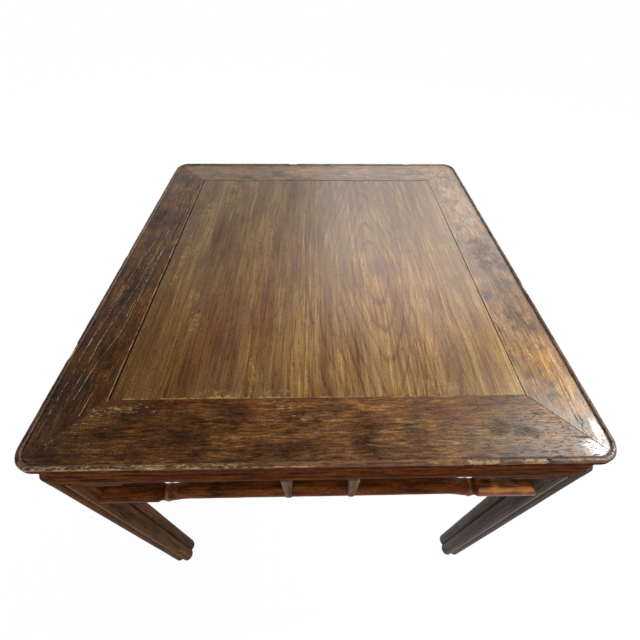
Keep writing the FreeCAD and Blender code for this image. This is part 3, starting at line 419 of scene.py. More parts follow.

# Wear, stains, and painted light and shade on the table top, where they lie. Paths are lists of places.
topMarks = {
    "scratches": [
        [(-398, 86), (-423, -110), (-429, -276), (-430, -380)],
        [(-381, 100), (-392, -100), (-408, -219), (-416, -379)],
        [(-372, 20), (-379, -215), (-394, -270), (-404, -345)],
        [(-378, -319), (-382, -372)],
        [(-368, 130), (-377, -60), (-384, -180)],
        [(-410, 30), (-421, -170), (-426, -240)],
        [(190, -365), (189, -382)],
        [(180, -422), (205, -420), (244, -422)],
        [(-385, -386), (-372, -383), (-359, -385)],
    ],
    "splits": [
        [(421, -281), (418, -345), (416, -388)],
        [(412, -296), (409, -392)],
        [(393, -414), (418, -414)],
        [(393, -414), (396, -422)],
        [(419, -388), (409, -402), (417, -413)],
        [(-360, 250), (-364, 60)],
    ],
    # rings: x, y, radius and degrees of the circle
    "rings": [(-401, -418, 8, 300), (-401, -418, 11, 200), (190, -432, 74, 40), (204, -424, 6, 360)],
    # spots: x, y, half length and half width
    "stains": [(278, -396, 26, 14), (345, -376, 5, 3), (-170, -402, 58, 30), (318, -405, 30, 10),
               (70, -400, 26, 50), (-395, -430, 30, 20), (398, 20, 34, 70), (402, -190, 30, 26),
               (-30, -425, 40, 14), (-330, -400, 34, 10), (-400, -60, 30, 60), (-380, -250, 20, 60),
               (-420, 150, 24, 50)],
    "rubs": [(-345, -366, 44, 16), (-290, -362, 34, 14), (-45, -356, 60, 18), (-30, -378, 30, 8),
             (295, -387, 16, 8), (-215, 318, 70, 24), (-300, 200, 26, 90), (-250, 240, 24, 40),
             (-72, -99, 14, 24), (-268, -130, 20, 30), (-250, -190, 16, 40), (-122, -300, 26, 40),
             (-130, -336, 150, 9), (-30, -320, 30, 30), (205, -330, 50, 20), (-390, -30, 20, 80),
             (-318, 0, 12, 200)],
    "polished": [(420, -429, 26, 14), (432, -410, 8, 22)],
    # broad spots with their strength last: where age has made the colour warmer (or, below 0, greyer)
    "broad": {
        "amber": [(-60, -300, 420, 120, 0.04), (-300, -260, 180, 120, 0.09), (-340, -160, 60, 240, 0.06),
                  (300, -310, 200, 120, 0.08), (60, 330, 520, 230, -0.06), (410, 120, 60, 260, -0.07),
                  (300, -405, 170, 40, -0.10)],
        # where it leans to red, or to yellow
        "ruddy": [(-190, -230, 110, 110, 0.012), (-330, -60, 60, 330, -0.006),
                  (-240, 300, 240, 180, -0.006), (330, -350, 200, 120, -0.008),
                  (-200, -430, 260, 60, -0.005), (330, -420, 150, 50, -0.010)],
        # where the sheen has gone
        "dull": [(402, -290, 60, 100, 0.6), (200, 240, 130, 160, 0.28), (230, 0, 100, 160, 0.1)],
        # where the top is painted lighter, as painted light, towards the right and the back, and darker, as
        # painted shade, at the front's left
        "bleach": [(190, -180, 310, 350, 1.15), (400, -290, 50, 100, 1.3), (425, -330, 18, 80, 1.3),
                   (400, 230, 60, 200, 1.3), (40, 400, 420, 40, 1.0), (-420, -280, 70, 220, -0.42),
                   (-260, -320, 170, 150, -0.2), (-300, -410, 200, 60, -0.14), (340, -410, 110, 50, 0.25)],
    },
    # widths in mm, and how bare or dark each kind of mark is
    "scratchWidth": 1.0, "splitWidth": 0.8, "ringWidth": 0.9, "wobble": 1.2, "quiver": 0.5,
    "scratchBare": 0.53, "splitDark": 0.85, "ringBare": 0.45, "stainDark": 0.42, "rubBare": 0.37,
}


def nearPath(x, y, places, width):
    # 1 on a path of straight stretches, falling off as a bell curve of that width
    nearest = np.full(x.shape, 1e9)
    for (startX, startY), (endX, endY) in zip(places, places[1:]):
        runX, runY = endX - startX, endY - startY
        part = np.clip(((x - startX) * runX + (y - startY) * runY) / (runX ** 2 + runY ** 2), 0, 1)
        nearest = np.minimum(nearest, np.hypot(x - startX - part * runX, y - startY - part * runY))
    return bell(nearest, 0, width)


def paintTop(x, y):
    # the seven marks at places on the table top. The places are shaken a little first, so that lines waver.
    # Broad spots add up; of scratches, rings and rubs, and of splits and stains, the strongest counts; the
    # edges of rubs and stains are torn by noise
    wobble, quiver = topMarks["wobble"], topMarks["quiver"]
    x = x + wobble * smoothNoise(x, y, 22, 1) + quiver * smoothNoise(x, y, 5, 2)
    y = y + wobble * smoothNoise(x, y, 22, 3) + quiver * smoothNoise(x, y, 5, 4)

    def patch(spotX, spotY, halfX, halfY):
        # a spot: the product of a bell curve along it and one across it
        return bell(x, spotX, halfX) * bell(y, spotY, halfY)

    worn, dark, polish = (np.zeros(x.shape) for _ in range(3))
    marks = {label: sum(strength * patch(*spot) for *spot, strength in spots)
             for label, spots in topMarks["broad"].items()}
    marks["bleach"] *= 1 + 0.25 * smoothNoise(x, y, 30, 9)
    scratched = topMarks["scratchBare"] + 0.10 * smoothNoise(x, y, 30, 5)
    for places in topMarks["scratches"]:
        worn = np.maximum(worn, scratched * nearPath(x, y, places, topMarks["scratchWidth"]))
    for places in topMarks["splits"]:
        dark = np.maximum(dark, topMarks["splitDark"] * nearPath(x, y, places, topMarks["splitWidth"]))
    for ringX, ringY, radius, sweep in topMarks["rings"]:
        angle = np.degrees(np.arctan2(y - ringY, x - ringX)) % 360
        ring = bell(np.hypot(x - ringX, y - ringY), radius, topMarks["ringWidth"]) * (angle < sweep)
        worn = np.maximum(worn, topMarks["ringBare"] * ring)
    tear = 1 + 0.6 * smoothNoise(x, y, 11, 6) + 0.3 * smoothNoise(x, y, 5, 7)
    for spot in topMarks["stains"]:
        dark = np.maximum(dark, topMarks["stainDark"] * ease(0.15, 0.95, patch(*spot) * tear))
    for spot in topMarks["rubs"]:
        worn = np.maximum(worn, topMarks["rubBare"] * ease(0.15, 0.95, patch(*spot) * tear))
    streaks = 1 + 0.5 * smoothNoise(x, y, 9, 8) + 0.4 * smoothNoise(x, y, 3, 10)
    for spot in topMarks["polished"]:
        polish = np.maximum(polish, ease(0.1, 1.1, patch(*spot) * streaks))
    return {"worn": worn, "dark": dark, "polish": polish, **marks}


# Frame members: a flat field, a raised edge on the outside with a hollow under it, mitred at the ends.
member = {
    "cornerRadius": 35.0, "rimRise": 2.5, "rimFlat": 5.0, "rimSlope": 4.0, "edgeHeight": 13.0,
    "hollowHeight": 6.0, "hollowDepth": 1.2, "edgeRound": 2.0, "width": 104.0, "arris": 0.7,
    "fieldStep": 0.8, "rowStep": 2.6, "underLift": 0.2,
    # the last rows before a mitre, as shares of the way to it, and where the evenly spaced rows end
    "lastRows": (0.9935, 0.996, 0.9976, 0.9990, 1.0), "evenRows": 0.991,
    # how open each mitre is at its inner and outer end
    "mitres": {"front_left": (0.05, 0.03), "front_right": (0.3, 0.05), "back_right": (0.1, 0.05),
               "back_left": (0.05, 0.03)},
    # broken out stretches of the raised edge on each side as drawn at the front: from, to, depth
    "chips": {"front": [(213, 263, 2.0), (297, 334, 2.0)], "right": [(-120, -96, 1.4), (180, 196, 1.2)],
              "back": [(-310, -290, 1.3), (60, 90, 1.5)], "left": [(-20, 4, 1.2), (240, 270, 1.5)]},
    # depth of the wear in mm
    "mitreWear": 0.35, "fieldWear": 0.3, "splitWear": 0.25, "edgeWear": 0.5,
    # how bare the raised edge's arris is: at the front's left, how much less at its right, and elsewhere;
    # then the flat of the raised edge at the front's left, the chips, and the painted highlight on the arris
    # beside the panel's gap
    "frontArris": 0.66, "frontLess": 0.28, "sideArris": 0.42, "frontEdge": 0.37, "chipBare": 0.56,
    "gapHighlight": 0.56,
    # how dark the foot of the raised edge, its top on the right (painted shade), the underside, the seams
    # and the gaps (painted shade) are
    "gutter": 0.55, "rightEdge": 0.62, "below": 0.6, "openSeam": 0.45, "tightSeam": 0.15, "leftGap": 0.9,
    "rightGap": 0.3,
    # the outside and underside have kept the redder brown of the canes
    "outsideRuddy": 0.022, "outsideBleach": 0.25,
}
opening = half - member["width"]
field = top - member["rimRise"]


def mitreOpening(corner, out):
    # how far a member stands back at each distance out: the inner opening eased into the outer one, torn by
    # noise
    inner, outer = member["mitres"][corner]
    torn = 1 + 0.5 * smoothNoise(out, 0, 9, 12)
    return torn * (inner + (outer - inner) * ease(opening + 30, half - 30, out))


def frameMember(turns):
    # a section carried from mitre to mitre, lowered by the wear at the mitres, on the field and in splits,
    # and by knocks and chips on the raised edge, which push its outside inwards too
    name = sides[turns]
    under, arris, edgeRound = frameUnder + member["underLift"], member["arris"], member["edgeRound"]
    rimStart, edgeFoot = half - member["rimFlat"], top - member["edgeHeight"]
    slopeFoot, hollowFoot = rimStart - member["rimSlope"], edgeFoot - member["hollowHeight"]
    slope = line((slopeFoot, field), (rimStart, top), 6)
    slope[:, 1] = field + member["rimRise"] * ease(slopeFoot, rimStart, slope[:, 0])
    hollow = line((half - edgeRound, edgeFoot), (face, hollowFoot), 6)
    hollow[:, 0] -= member["hollowDepth"] * np.sin(np.arange(6) / 6 * math.pi)
    profile = np.concatenate([
        line((face, under), (opening, under), 3),
        line((opening, under), (opening, field - arris), 3),
        arc((opening + arris, field - arris), arris, 180, 90, 3),
        line((opening + arris, field), (slopeFoot, field), int((slopeFoot - opening) / member["fieldStep"])),
        slope,
        line((rimStart, top), (half - edgeRound, top), 3),
        arc((half - edgeRound, top - edgeRound), edgeRound, 90, 0, 5),
        line((half, top - edgeRound), (half, edgeFoot + edgeRound), 6),
        arc((half - edgeRound, edgeFoot + edgeRound), edgeRound, 0, -90, 4),
        hollow,
        line((face, hollowFoot), (face, under), 4)])
    out, height = profile.T
    ends, even = np.array(member["lastRows"]), member["evenRows"]
    along = np.concatenate([-ends[::-1], np.linspace(-even, even, int(2 * half / member["rowStep"])), ends])
    toMitre = np.abs(along)[:, None]
    grid = mitredSweep(profile, along, [mitreOpening(corners[(turns + end) % 4], out) for end in (0, 1)])
    travel = grid[..., 0]
    x, y = np.moveaxis(turned(grid, turns)[..., :2], -1, 0)
    onTop = ease(field - 0.6, field - 0.2, height)
    onEdge = ease(slopeFoot + 1, rimStart, out)
    marks = {label: amount * onTop for label, amount in paintTop(x, y).items()}
    worn, dark = marks["worn"], marks["dark"]

    # shape: wear and splits of the field, then knocks and chips of the raised edge
    drop = member["mitreWear"] * ease(0.9985, 1.0, toMitre) + member["fieldWear"] * patchy(x, y, 70, 11)
    drop = (drop + member["splitWear"] * dark) * onTop
    rim = member["edgeWear"] * bell(out, half - 1, 3) * bell(height, top - 1, 3)
    torn = travel + 6 * smoothNoise(travel, 2 * out + 2 * height, 6, 40)
    torn = torn + 3 * smoothNoise(travel, 3 * out, 2.5, 41)
    chip = np.zeros(travel.shape)
    for start, finish, depth in member["chips"][name]:
        cut = ease(start - 1.5, start + 1.5, torn) * (1 - ease(finish - 1.5, finish + 1.5, torn))
        chip = np.maximum(chip, depth * cut * (0.8 + 0.2 * smoothNoise(travel, out, 3, 42)))
    chip = chip * onEdge * ease(top - 4.5, top - 2.5, height)
    grid[..., 2] -= drop + rim * patchy(travel, out, 9, 20 + turns) + 0.8 * chip
    grid[..., 1] += rim * patchy(travel, out, 14, 30 + turns) + 0.5 * chip

    # bare wood: the arris of the raised edge, at the front's left all of it, and the chips
    arrisBare = bell(out, half - 0.8, 1.6) * bell(height, top - 0.8, 1.6)
    arrisBare = arrisBare * (0.8 + 0.3 * smoothNoise(travel, out, 30, 50 + turns)
                             + 0.2 * smoothNoise(travel, out, 6, 55))
    if name == "front":
        worn = np.maximum(worn, arrisBare * (member["frontArris"] - member["frontLess"] * ease(-60, 40, x)))
        rubbed = onEdge * ease(top - 3, top - 1, height) * ease(-60, -120, x)
        worn = np.maximum(worn, rubbed * (member["frontEdge"] + 0.10 * smoothNoise(travel, 2 * out, 12, 56)))
    else:
        worn = np.maximum(worn, arrisBare * member["sideArris"])
    crumbs = 0.26 * smoothNoise(travel, 2 * out, 3, 43) + 0.12 * smoothNoise(travel, out, 9, 44)
    crumbs = (member["chipBare"] + crumbs) * ease(rimStart - 1.5, rimStart + 1.5, out)
    worn = np.maximum(worn, ease(0.3, 1.2, chip) * crumbs)

    # dark: the foot of the raised edge, the seams of the mitres and the underside; painted shade on the
    # right member's raised edge and in the panel's gaps
    gutter = member["gutter"] * bell(out, slopeFoot, 1.3) * onTop
    # painted shade: the raised edge's flat top along the right member, darkened as its shaded side
    if name == "right":
        flat = ease(slopeFoot - 1, slopeFoot + 1, out) * (1 - ease(half - 2.5, half - 0.8, out))
        gutter = np.maximum(gutter, member["rightEdge"] * flat * onTop)
    seam = ease(0.9975, 0.9992, toMitre) * patchy(x, y, 12, 14) * onTop
    seam = seam * np.where((x > 0) & (y < 0), member["openSeam"], member["tightSeam"])
    below = member["below"] * (1 - ease(edgeFoot - 4, edgeFoot + 2, height))
    dark = np.maximum(np.maximum(dark, gutter), np.maximum(seam, below))
    if turns % 2:
        # the panel, shrinking, has pulled away from the side members: painted shade in the gap, and a
        # painted highlight on the arris beside it
        gap = member["leftGap"] if name == "left" else member["rightGap"] * (1 + smoothNoise(x, y, 60, 15))
        dark = np.maximum(dark, gap * bell(out, opening, 1.1))
        beside = bell(out, opening + 2.6, 1.2) * onTop
        worn = np.maximum(worn, beside * (member["gapHighlight"] + 0.12 * smoothNoise(x, y, 20, 13)))
    marks["worn"], marks["dark"], marks["dull"] = worn, dark, np.maximum(marks["dull"], 1 - onTop)
    marks["ruddy"] = marks["ruddy"] + member["outsideRuddy"] * (1 - onTop)
    marks["bleach"] = marks["bleach"] * onTop + member["outsideBleach"] * (1 - onTop)
    surface("frame_" + name, turns, grid, frameWoods[name], marks)


for turns in range(4):
    frameMember(turns)
print("frame members ready")

# Panel boards: flat slabs with a tongue into the frame, tight seams and rubbed ends.
board = {
    "thickness": 13.5, "drop": 0.5, "sideGap": 1.2, "rightGap": 0.5, "endGap": 0.3, "tongueDepth": 4.0,
    "tongueThickness": 6.0, "tongueLength": 7.0, "arris": 0.6, "seamArris": 0.12, "step": 1.8,
    # the last rows at an end, and the depth of the wear on the field and at an end
    "lastRows": (0, 0.3, 0.9), "wear": 0.25, "endWear": 0.5,
    # how bare the ends are: a narrow line, a wider band, and how much more of it at the front's left; then
    # the painted shade in the gaps beside the side members
    "endLine": 0.50, "endBand": 0.24, "endBandLeft": 0.36, "leftGapDark": 0.9, "rightGapDark": 0.3,
    # paler and darker stripes along the grain: place across, half width, how much
    "stripes": [(-38, 9, 0.42), (-120, 7, 0.16), (-86, 16, -0.12), (12, 14, -0.08), (62, 8, 0.10),
                (-235, 12, -0.10), (-300, 16, 0.14), (200, 12, 0.12), (268, 18, -0.10)],
}


def panelBoard(number, name):
    # a section drawn across a third of the opening and carried along the grain, lowered by the wear of its
    # field and of its ends
    boardTop = field - board["drop"]
    under = boardTop - board["thickness"]
    leftEdge, rightEdge = board["sideGap"] - opening, opening - board["rightGap"]
    wide = (rightEdge - leftEdge) / 3
    left, right = leftEdge + wide * number, leftEdge + wide * (number + 1)
    tongueTop = boardTop - board["tongueDepth"]
    tongueUnder = tongueTop - board["tongueThickness"]
    reach = board["tongueLength"] + board["rightGap"]
    leftArris = board["arris"] if number == 0 else board["seamArris"]
    rightArris = board["arris"] if number == 2 else board["seamArris"]
    none, count = np.zeros((0, 2)), int((right - left) / board["step"])
    leftTongue = none if number > 0 else [(left - reach, tongueUnder), (left - reach, tongueTop)]
    rightTongue = none if number < 2 else [(right + reach, tongueTop), (right + reach, tongueUnder)]
    profile = np.concatenate([
        line((right, under), (left, under), 4),
        line((left, under), (left, tongueUnder), 2),
        leftTongue,
        line((left, tongueTop), (left, boardTop - leftArris), 2),
        arc((left + leftArris, boardTop - leftArris), leftArris, 180, 90, 3),
        line((left + leftArris, boardTop), (right - rightArris, boardTop), count),
        arc((right - rightArris, boardTop - rightArris), rightArris, 90, 0, 3),
        line((right, boardTop - rightArris), (right, tongueTop), 2),
        rightTongue,
        line((right, tongueUnder), (right, under), 2)])
    end, lastRows = opening - board["endGap"], np.array(board["lastRows"])
    evenEnd = end - board["step"]
    even = np.linspace(-evenEnd, evenEnd, int(2 * end / board["step"]))
    across, height = profile.T
    y, x = np.meshgrid(np.concatenate([lastRows - end, even, end - lastRows[::-1]]), across, indexing="ij")
    onTop = ease(boardTop - 0.8, boardTop - 0.3, height)
    marks = {label: amount * onTop for label, amount in paintTop(x, y).items()}
    fromEnd = end - np.abs(y)
    band = board["endBand"] + board["endBandLeft"] * ease(60, -160, x) * (y < 0)
    endBare = board["endLine"] * bell(fromEnd, 0, 1.8)
    endBare = endBare + band * bell(fromEnd, 0, 11) * patchy(x, y * 0.2, 40, 60)
    marks["worn"] = np.maximum(marks["worn"], endBare * (0.8 + 0.5 * smoothNoise(x, y, 7, 62)) * onTop)
    broken = 0.75 + 0.35 * smoothNoise(x * 3, y, 60, 65)
    for place, halfWidth, amount in board["stripes"]:
        sway = place + 5 * smoothNoise(place, y, 120, 63) + 3 * smoothNoise(place, y, 40, 64)
        marks["bleach"] = marks["bleach"] + amount * broken * bell(x, sway, halfWidth)
    # the panel, shrinking, has pulled away from the side members: painted shade darkens both gaps
    rightGap = board["rightGapDark"] * (0.6 + 0.8 * smoothNoise(x, y, 60, 66))
    gapShade = board["leftGapDark"] * bell(x, leftEdge, 1.0) + rightGap * bell(x, rightEdge, 1.0)
    marks["dark"] = np.maximum(marks["dark"], gapShade)
    marks["dull"] = np.maximum(marks["dull"], 1 - onTop)
    drop = board["wear"] * patchy(x, y, 80, 61) + board["endWear"] * (1 - ease(0, 1.2, fromEnd))
    surface("panel_board_" + name, 0, gridOf(x, y, height - drop * onTop), panelWood, marks)


for number, name in enumerate(("left", "middle", "right")):
    panelBoard(number, name)
print("panel boards ready")

# Rails: strips of two canes under the edge, aprons of one cane between the legs.
rail = {
    "depth": 20.0, "bulge": 4.0, "lap": 8.0, "rowStep": 3.0, "wear": 0.35, "canePoints": 14, "mitreGap": 0.1,
    # dirt in the valleys, and painted highlights on the edges of the canes: how strong, and how much more
    # in patches; then a painted highlight along the apron's lower edge
    "valleyDark": 0.85, "edgeBare": 0.24, "patchyEdgeHighlight": 0.22, "lowEdgeHighlight": 0.38,
}
valleyOut, railBack, lapBack = (face - rail[label] for label in ("bulge", "depth", "lap"))


def cane(high, low):
    # the outside of one cane, downwards: an arc that bulges from the valley plane to the face
    halfHeight = (high - low) / 2
    radius = (halfHeight ** 2 + rail["bulge"] ** 2) / (2 * rail["bulge"])
    opened = math.degrees(math.asin(halfHeight / radius))
    return arc((face - radius, (high + low) / 2), radius, opened, -opened, rail["canePoints"])


def railMarks(travel, out, height, valleys, seed):
    # dirt in the valleys between the canes, and painted highlights on the edges just below them
    depth = sum(bell(height, valley, 1.3) for valley in valleys)
    crest = sum(bell(height, valley - 2.6, 1.0) for valley in valleys)
    outside = ease(valleyOut - 2, valleyOut, out)
    bare = rail["edgeBare"] + rail["patchyEdgeHighlight"] * patchy(travel, height, 35, seed)
    return {"dark": rail["valleyDark"] * depth * outside, "worn": outside * crest * bare}


def caneWear(travel, out, height, seed):
    # how far patches of wear push the canes in, in mm: all of it 2 mm outside the valley plane, none on it
    return rail["wear"] * ease(valleyOut, valleyOut + 2, out) * patchy(travel, height, 30, seed)


def strip(turns):
    # two canes one above the other and a flat back, carried from mitre to mitre
    middle = (frameUnder + stripUnder) / 2
    profile = np.concatenate([
        cane(frameUnder, middle), cane(middle, stripUnder),
        line((valleyOut, stripUnder), (railBack, stripUnder), 3),
        line((railBack, stripUnder), (railBack, frameUnder), 3),
        line((railBack, frameUnder), (valleyOut, frameUnder), 3)])
    out, height = profile.T
    grid = mitredSweep(profile, np.linspace(-1, 1, int(2 * face / rail["rowStep"])), [rail["mitreGap"]] * 2)
    travel = grid[..., 0] + grid[..., 1] * 0.2
    grid[..., 1] += caneWear(travel, out, height, 74 + turns)
    marks = railMarks(travel, out, height, (frameUnder, middle, stripUnder), 70 + turns)
    surface("under_edge_strip_" + sides[turns], turns, grid, railWoods[turns], marks)


def apron(turns):
    # one cane and a flat back between two legs: its front laps over them to their axes, and behind the lap
    # each end is cut to the round of the leg's inner lobe
    behind = lapBack - 0.01
    lobeOut, lobeIn = legAxis + lobe["shift"], legAxis - lobe["shift"]
    profile = np.concatenate([
        cane(stripUnder, apronUnder),
        line((valleyOut, apronUnder), (lapBack, apronUnder), 2),
        [(lapBack, apronUnder)],
        line((behind, apronUnder), (railBack, apronUnder), 5),
        line((railBack, apronUnder), (railBack, stripUnder), 4),
        line((railBack, stripUnder), (behind, stripUnder), 5),
        [(behind, stripUnder)],
        line((lapBack, stripUnder), (valleyOut, stripUnder), 2)])
    out, height = profile.T
    coped = lobeIn - np.sqrt(np.maximum(lobe["radius"] ** 2 - (out - lobeOut) ** 2, 0))
    along = np.linspace(-1, 1, int(2 * legAxis / rail["rowStep"]))[:, None]
    x = along * np.where(out >= lapBack, legAxis, coped)
    marks = railMarks(x, out, height, (stripUnder,), 80 + turns)
    # a painted highlight along the cane's lower edge
    lowEdge = bell(height, apronUnder + 1.2, 1.2) * ease(valleyOut - 1, valleyOut, out)
    lowEdge = lowEdge * (rail["lowEdgeHighlight"] + 0.2 * smoothNoise(x, height, 60, 84 + turns))
    marks["worn"] = np.maximum(marks["worn"], lowEdge)
    grid = gridOf(x, caneWear(x, out, height, 88 + turns) - out, height)
    surface("apron_" + sides[turns], turns, grid, railWoods[turns], marks)


for turns in range(4):
    strip(turns)
    apron(turns)
print("strips and aprons ready")

# Legs: four round lobes in one section, cut back under the aprons' laps, a plain post behind the strips.
legLooks = {
    "around": 96, "rowStep": 12.0, "footRows": (0, 0.6, 1.6, 3.0, 8.0), "footRound": 3.0, "wear": 0.4,
    "postOut": 6.0, "postIn": 22.0,
    # marks: dirt in the grooves, bare feet, and a painted highlight line where the inner lobe faces front or
    # back
    "grooveDark": 0.75, "footBare": 0.45, "footHeight": 6.0, "lineAt": (1.628 * math.pi, 0.872 * math.pi),
    "lineWidth": 0.06, "lineHighlight": {"left": 0.44, "right": 0.6}, "patchyLineHighlight": 0.2,
}


def leg(turns):
    # the section's radius in each direction: up to the apron one of four circles, one per quarter; above it
    # the same cut off at the plane of the laps, and above that a square post. The foot is rounded
    looks, corner = legLooks, corners[turns]
    hand = corner.split("_")[1]
    angle = np.arange(looks["around"]) / looks["around"] * 2 * math.pi
    cosine, sine = np.cos(angle), np.sin(angle)
    forward = lobe["shift"] * (np.abs(cosine) + np.abs(sine))
    across = lobe["shift"] * (np.abs(sine) - np.abs(cosine))
    lobed = forward + np.sqrt(lobe["radius"] ** 2 - across ** 2)
    post = np.min([np.where(part > 0, looks["postIn"], looks["postOut"]) / np.maximum(np.abs(part), 1e-9)
                   for part in (cosine, sine)], axis=0)
    *footRows, firstRow = looks["footRows"]
    height = np.concatenate([footRows, np.arange(firstRow, apronUnder - 6, looks["rowStep"]),
                             [apronUnder, apronUnder, stripUnder, stripUnder, frameUnder]])[:, None]
    zone = np.array(["lobes"] * (len(height) - 4) + ["lap"] * 2 + ["post"] * 2)[:, None]
    turn = angle * 20
    lift = 1 - np.clip(height / looks["footRound"], 0, 1)
    rounded = looks["footRound"] * (1 - np.sqrt(1 - lift ** 2))
    worn = looks["wear"] * patchy(turn, height, 60, 90 + turns)
    radius = np.where(zone == "post", post, lobed) - (rounded + worn) * (zone == "lobes")
    localX, localY = radius * cosine, radius * sine
    lapPlane = rail["lap"] - legWidth / 2
    cutY = (zone == "lap") & (localX >= 0) & (localY < lapPlane)
    cutX = (zone == "lap") & (localY >= 0) & (localX < lapPlane)
    localX, localY = np.where(cutX, lapPlane, localX), np.where(cutY, lapPlane, localY)
    # a painted highlight line along the flank of the inner lobe
    rubbed = bell(angle, looks["lineAt"][turns % 2], looks["lineWidth"])
    rubbed = rubbed * (looks["lineHighlight"][hand] + looks["patchyLineHighlight"] * patchy(turn, height, 90, 94))
    foot = looks["footBare"] * np.exp(-height / looks["footHeight"])
    marks = {"dark": looks["grooveDark"] * bell(lobed, lobed.min(), 1.2) * (zone == "lobes"),
             "worn": np.clip(foot + rubbed, 0, 1)}
    grid = gridOf(localX - legAxis, localY - legAxis, height)
    surface("leg_" + corner, turns, grid, legWoods[hand], marks)


for turns in range(4):
    leg(turns)
print("legs ready")

# Stretchers: round rails with a raised middle and a bamboo node outside each bend.
stretcherLooks = {
    "radius": 13.0, "around": 48, "rise": 12.0, "humpHalf": 232.0, "humpRun": 50.0, "end": 400.0,
    "wear": 0.4,
    # the bamboo node: a groove between a low lip on the raised part and the swollen end
    "node": 286.0, "nodeWidth": 4.6, "nodeDepth": 0.8, "lip": 276.0, "lipWidth": 4.5, "lipRise": 1.3,
    "swell": 1.9, "swellStart": 289.0, "swellRun": 5.0,
    # how much fuller the back is, at these places along each half
    "backAt": [0, 226, 242, 278, 290, 400], "backSwell": [2.4, 2.4, 2.0, 2.0, 3.4, 3.4],
    # dirt in the node's groove, painted shade on the left end and a painted shadow of the apron on top of
    # the right one
    "grooveDark": 0.6, "leftDark": 0.3, "apronShadowDark": 0.6,
    # the painted highlight line along the right end's outer ridge, as an angle from straight up and a width
    # in radians
    "crest": 5.7, "crestWidth": 0.22,
    # sheen and bare wood of lips (partly wear, partly a painted highlight), of ends, of the right end
    # (painted light) and of the painted highlight line along it
    "polish": {"lips": 0.3, "rubbed": 0.25, "crest": 0.2},
    "bare": {"lips": 0.3, "ends": 0.14, "rubbed": 0.08, "crest": 0.5, "patches": 0.16},
}


def stretcher(turns):
    # a circle carried along a line that bends down beyond each end of the hump. Its radius is the plain one
    # with lip, swollen end, groove and wear added up, and the back half is fuller by backSwell
    looks = stretcherLooks
    humpHalf, humpRun, rise = looks["humpHalf"], looks["humpRun"], looks["rise"]
    highLine = stretcherTop - looks["radius"]
    atNode = np.arange(looks["node"] - 24, looks["node"] + 16, 0.8)
    atBend = np.linspace(humpHalf, humpHalf + humpRun, 26)
    x = np.linspace(-looks["end"], looks["end"], 201)
    x = np.unique(np.concatenate([x, -atNode, atNode, -atBend, atBend]).round(3))
    # two tangent arcs make each bend
    bend = (humpRun ** 2 + rise ** 2) / (4 * rise)
    past = np.clip(np.abs(x) - humpHalf, 0, humpRun)
    first = highLine - bend + np.sqrt(bend ** 2 - np.minimum(past, humpRun / 2) ** 2)
    left = humpRun - np.maximum(past, humpRun / 2)
    second = highLine - rise + bend - np.sqrt(bend ** 2 - left ** 2)
    level = np.where(past < humpRun / 2, first, second)
    slope = np.gradient(level, x)
    x, level, slope = x[:, None], level[:, None], slope[:, None]
    distance, length = np.abs(x), np.hypot(1, slope)

    lips = bell(distance, looks["lip"], looks["lipWidth"])
    groove = bell(distance, looks["node"], looks["nodeWidth"])
    swollen = ease(looks["swellStart"], looks["swellStart"] + looks["swellRun"], distance)
    angle = np.arange(looks["around"]) / looks["around"] * 2 * math.pi
    around = angle * looks["radius"]
    radius = looks["radius"] + looks["lipRise"] * lips + looks["swell"] * swollen
    radius = radius - looks["nodeDepth"] * groove - looks["wear"] * patchy(x, around, 26, 100 + turns)
    up = radius * np.cos(angle)
    fuller = np.interp(distance, looks["backAt"], looks["backSwell"]) * np.maximum(np.sin(angle), 0)
    y = radius * np.sin(angle) + fuller - legAxis - lobe["shift"]
    grid = gridOf(x - up * slope / length, y, level + up / length)

    # the right end: painted lighter and more golden as painted light, with a painted highlight line along
    # its ridge; the left end gets painted shade
    rubbed = swollen * ease(100, 300, x)
    crest = bell(angle, looks["crest"], looks["crestWidth"])
    # painted shadow of the apron on top of the right end, broken up into blotches
    apronShadow = np.clip(0.6 + smoothNoise(x, around, 14, 105), 0, 1) * ease(0.68, 0.95, np.cos(angle)) * rubbed
    dark = np.maximum(looks["grooveDark"] * groove, looks["leftDark"] * swollen * ease(0, -100, x))
    polish, bare = looks["polish"], looks["bare"]
    worn = (bare["ends"] + (bare["rubbed"] + bare["crest"] * crest) * rubbed) * swollen + bare["lips"] * lips
    worn = worn + bare["patches"] * smoothNoise(x, around, 18, 104)
    polish = polish["lips"] * lips + (polish["rubbed"] + polish["crest"] * crest) * rubbed
    marks = {"dark": np.maximum(dark, looks["apronShadowDark"] * apronShadow), "worn": np.clip(worn, 0, 1),
             "bleach": rubbed, "polish": polish}
    surface("stretcher_" + sides[turns], turns, grid, stretcherWoods[turns], marks)


for turns in range(4):
    stretcher(turns)
print("stretchers ready")

# Small boards cut to an outline: spandrels under the aprons, struts between apron and stretcher.
spandrelLooks = {"length": 104.0, "height": 30.0, "step": 17.0, "run": 34.0, "nose": 6.0, "thickness": 12.0,
                 "setback": 6.0, "intoLeg": 4.0, "bevel": 1.2}
strutLooks = {"spacing": 112.0, "width": 18.0, "footWidth": 12.0, "depth": 20.0, "bevel": 1.0}


def cutBoard(node, turns, outline, front, back, bevel, material):
    # an outline (across, height) given two faces and a rim of quads, its edges then bevelled; the sign of
    # the outline's area tells which way the faces point
    across, height = outline.T
    points = gridOf(across, -np.array([[front], [back]]), height).reshape(-1, 3)
    count = len(outline)
    ring = list(range(count))
    faces = [ring, [count + number for number in reversed(ring)]]
    faces += [(here, here + count, (here + 1) % count + count, (here + 1) % count) for here in ring]
    area = np.sum(across * np.roll(height, -1) - height * np.roll(across, -1))
    piece = makePiece(node, turns, points, faces, area < 0, cutSharp, material)
    modifier = piece.modifiers.new("easedEdges", "BEVEL")
    modifier.width = bevel * mm
    modifier.segments = 3
    modifier.limit_method = "ANGLE"
    modifier.angle_limit = math.radians(easedSharp)


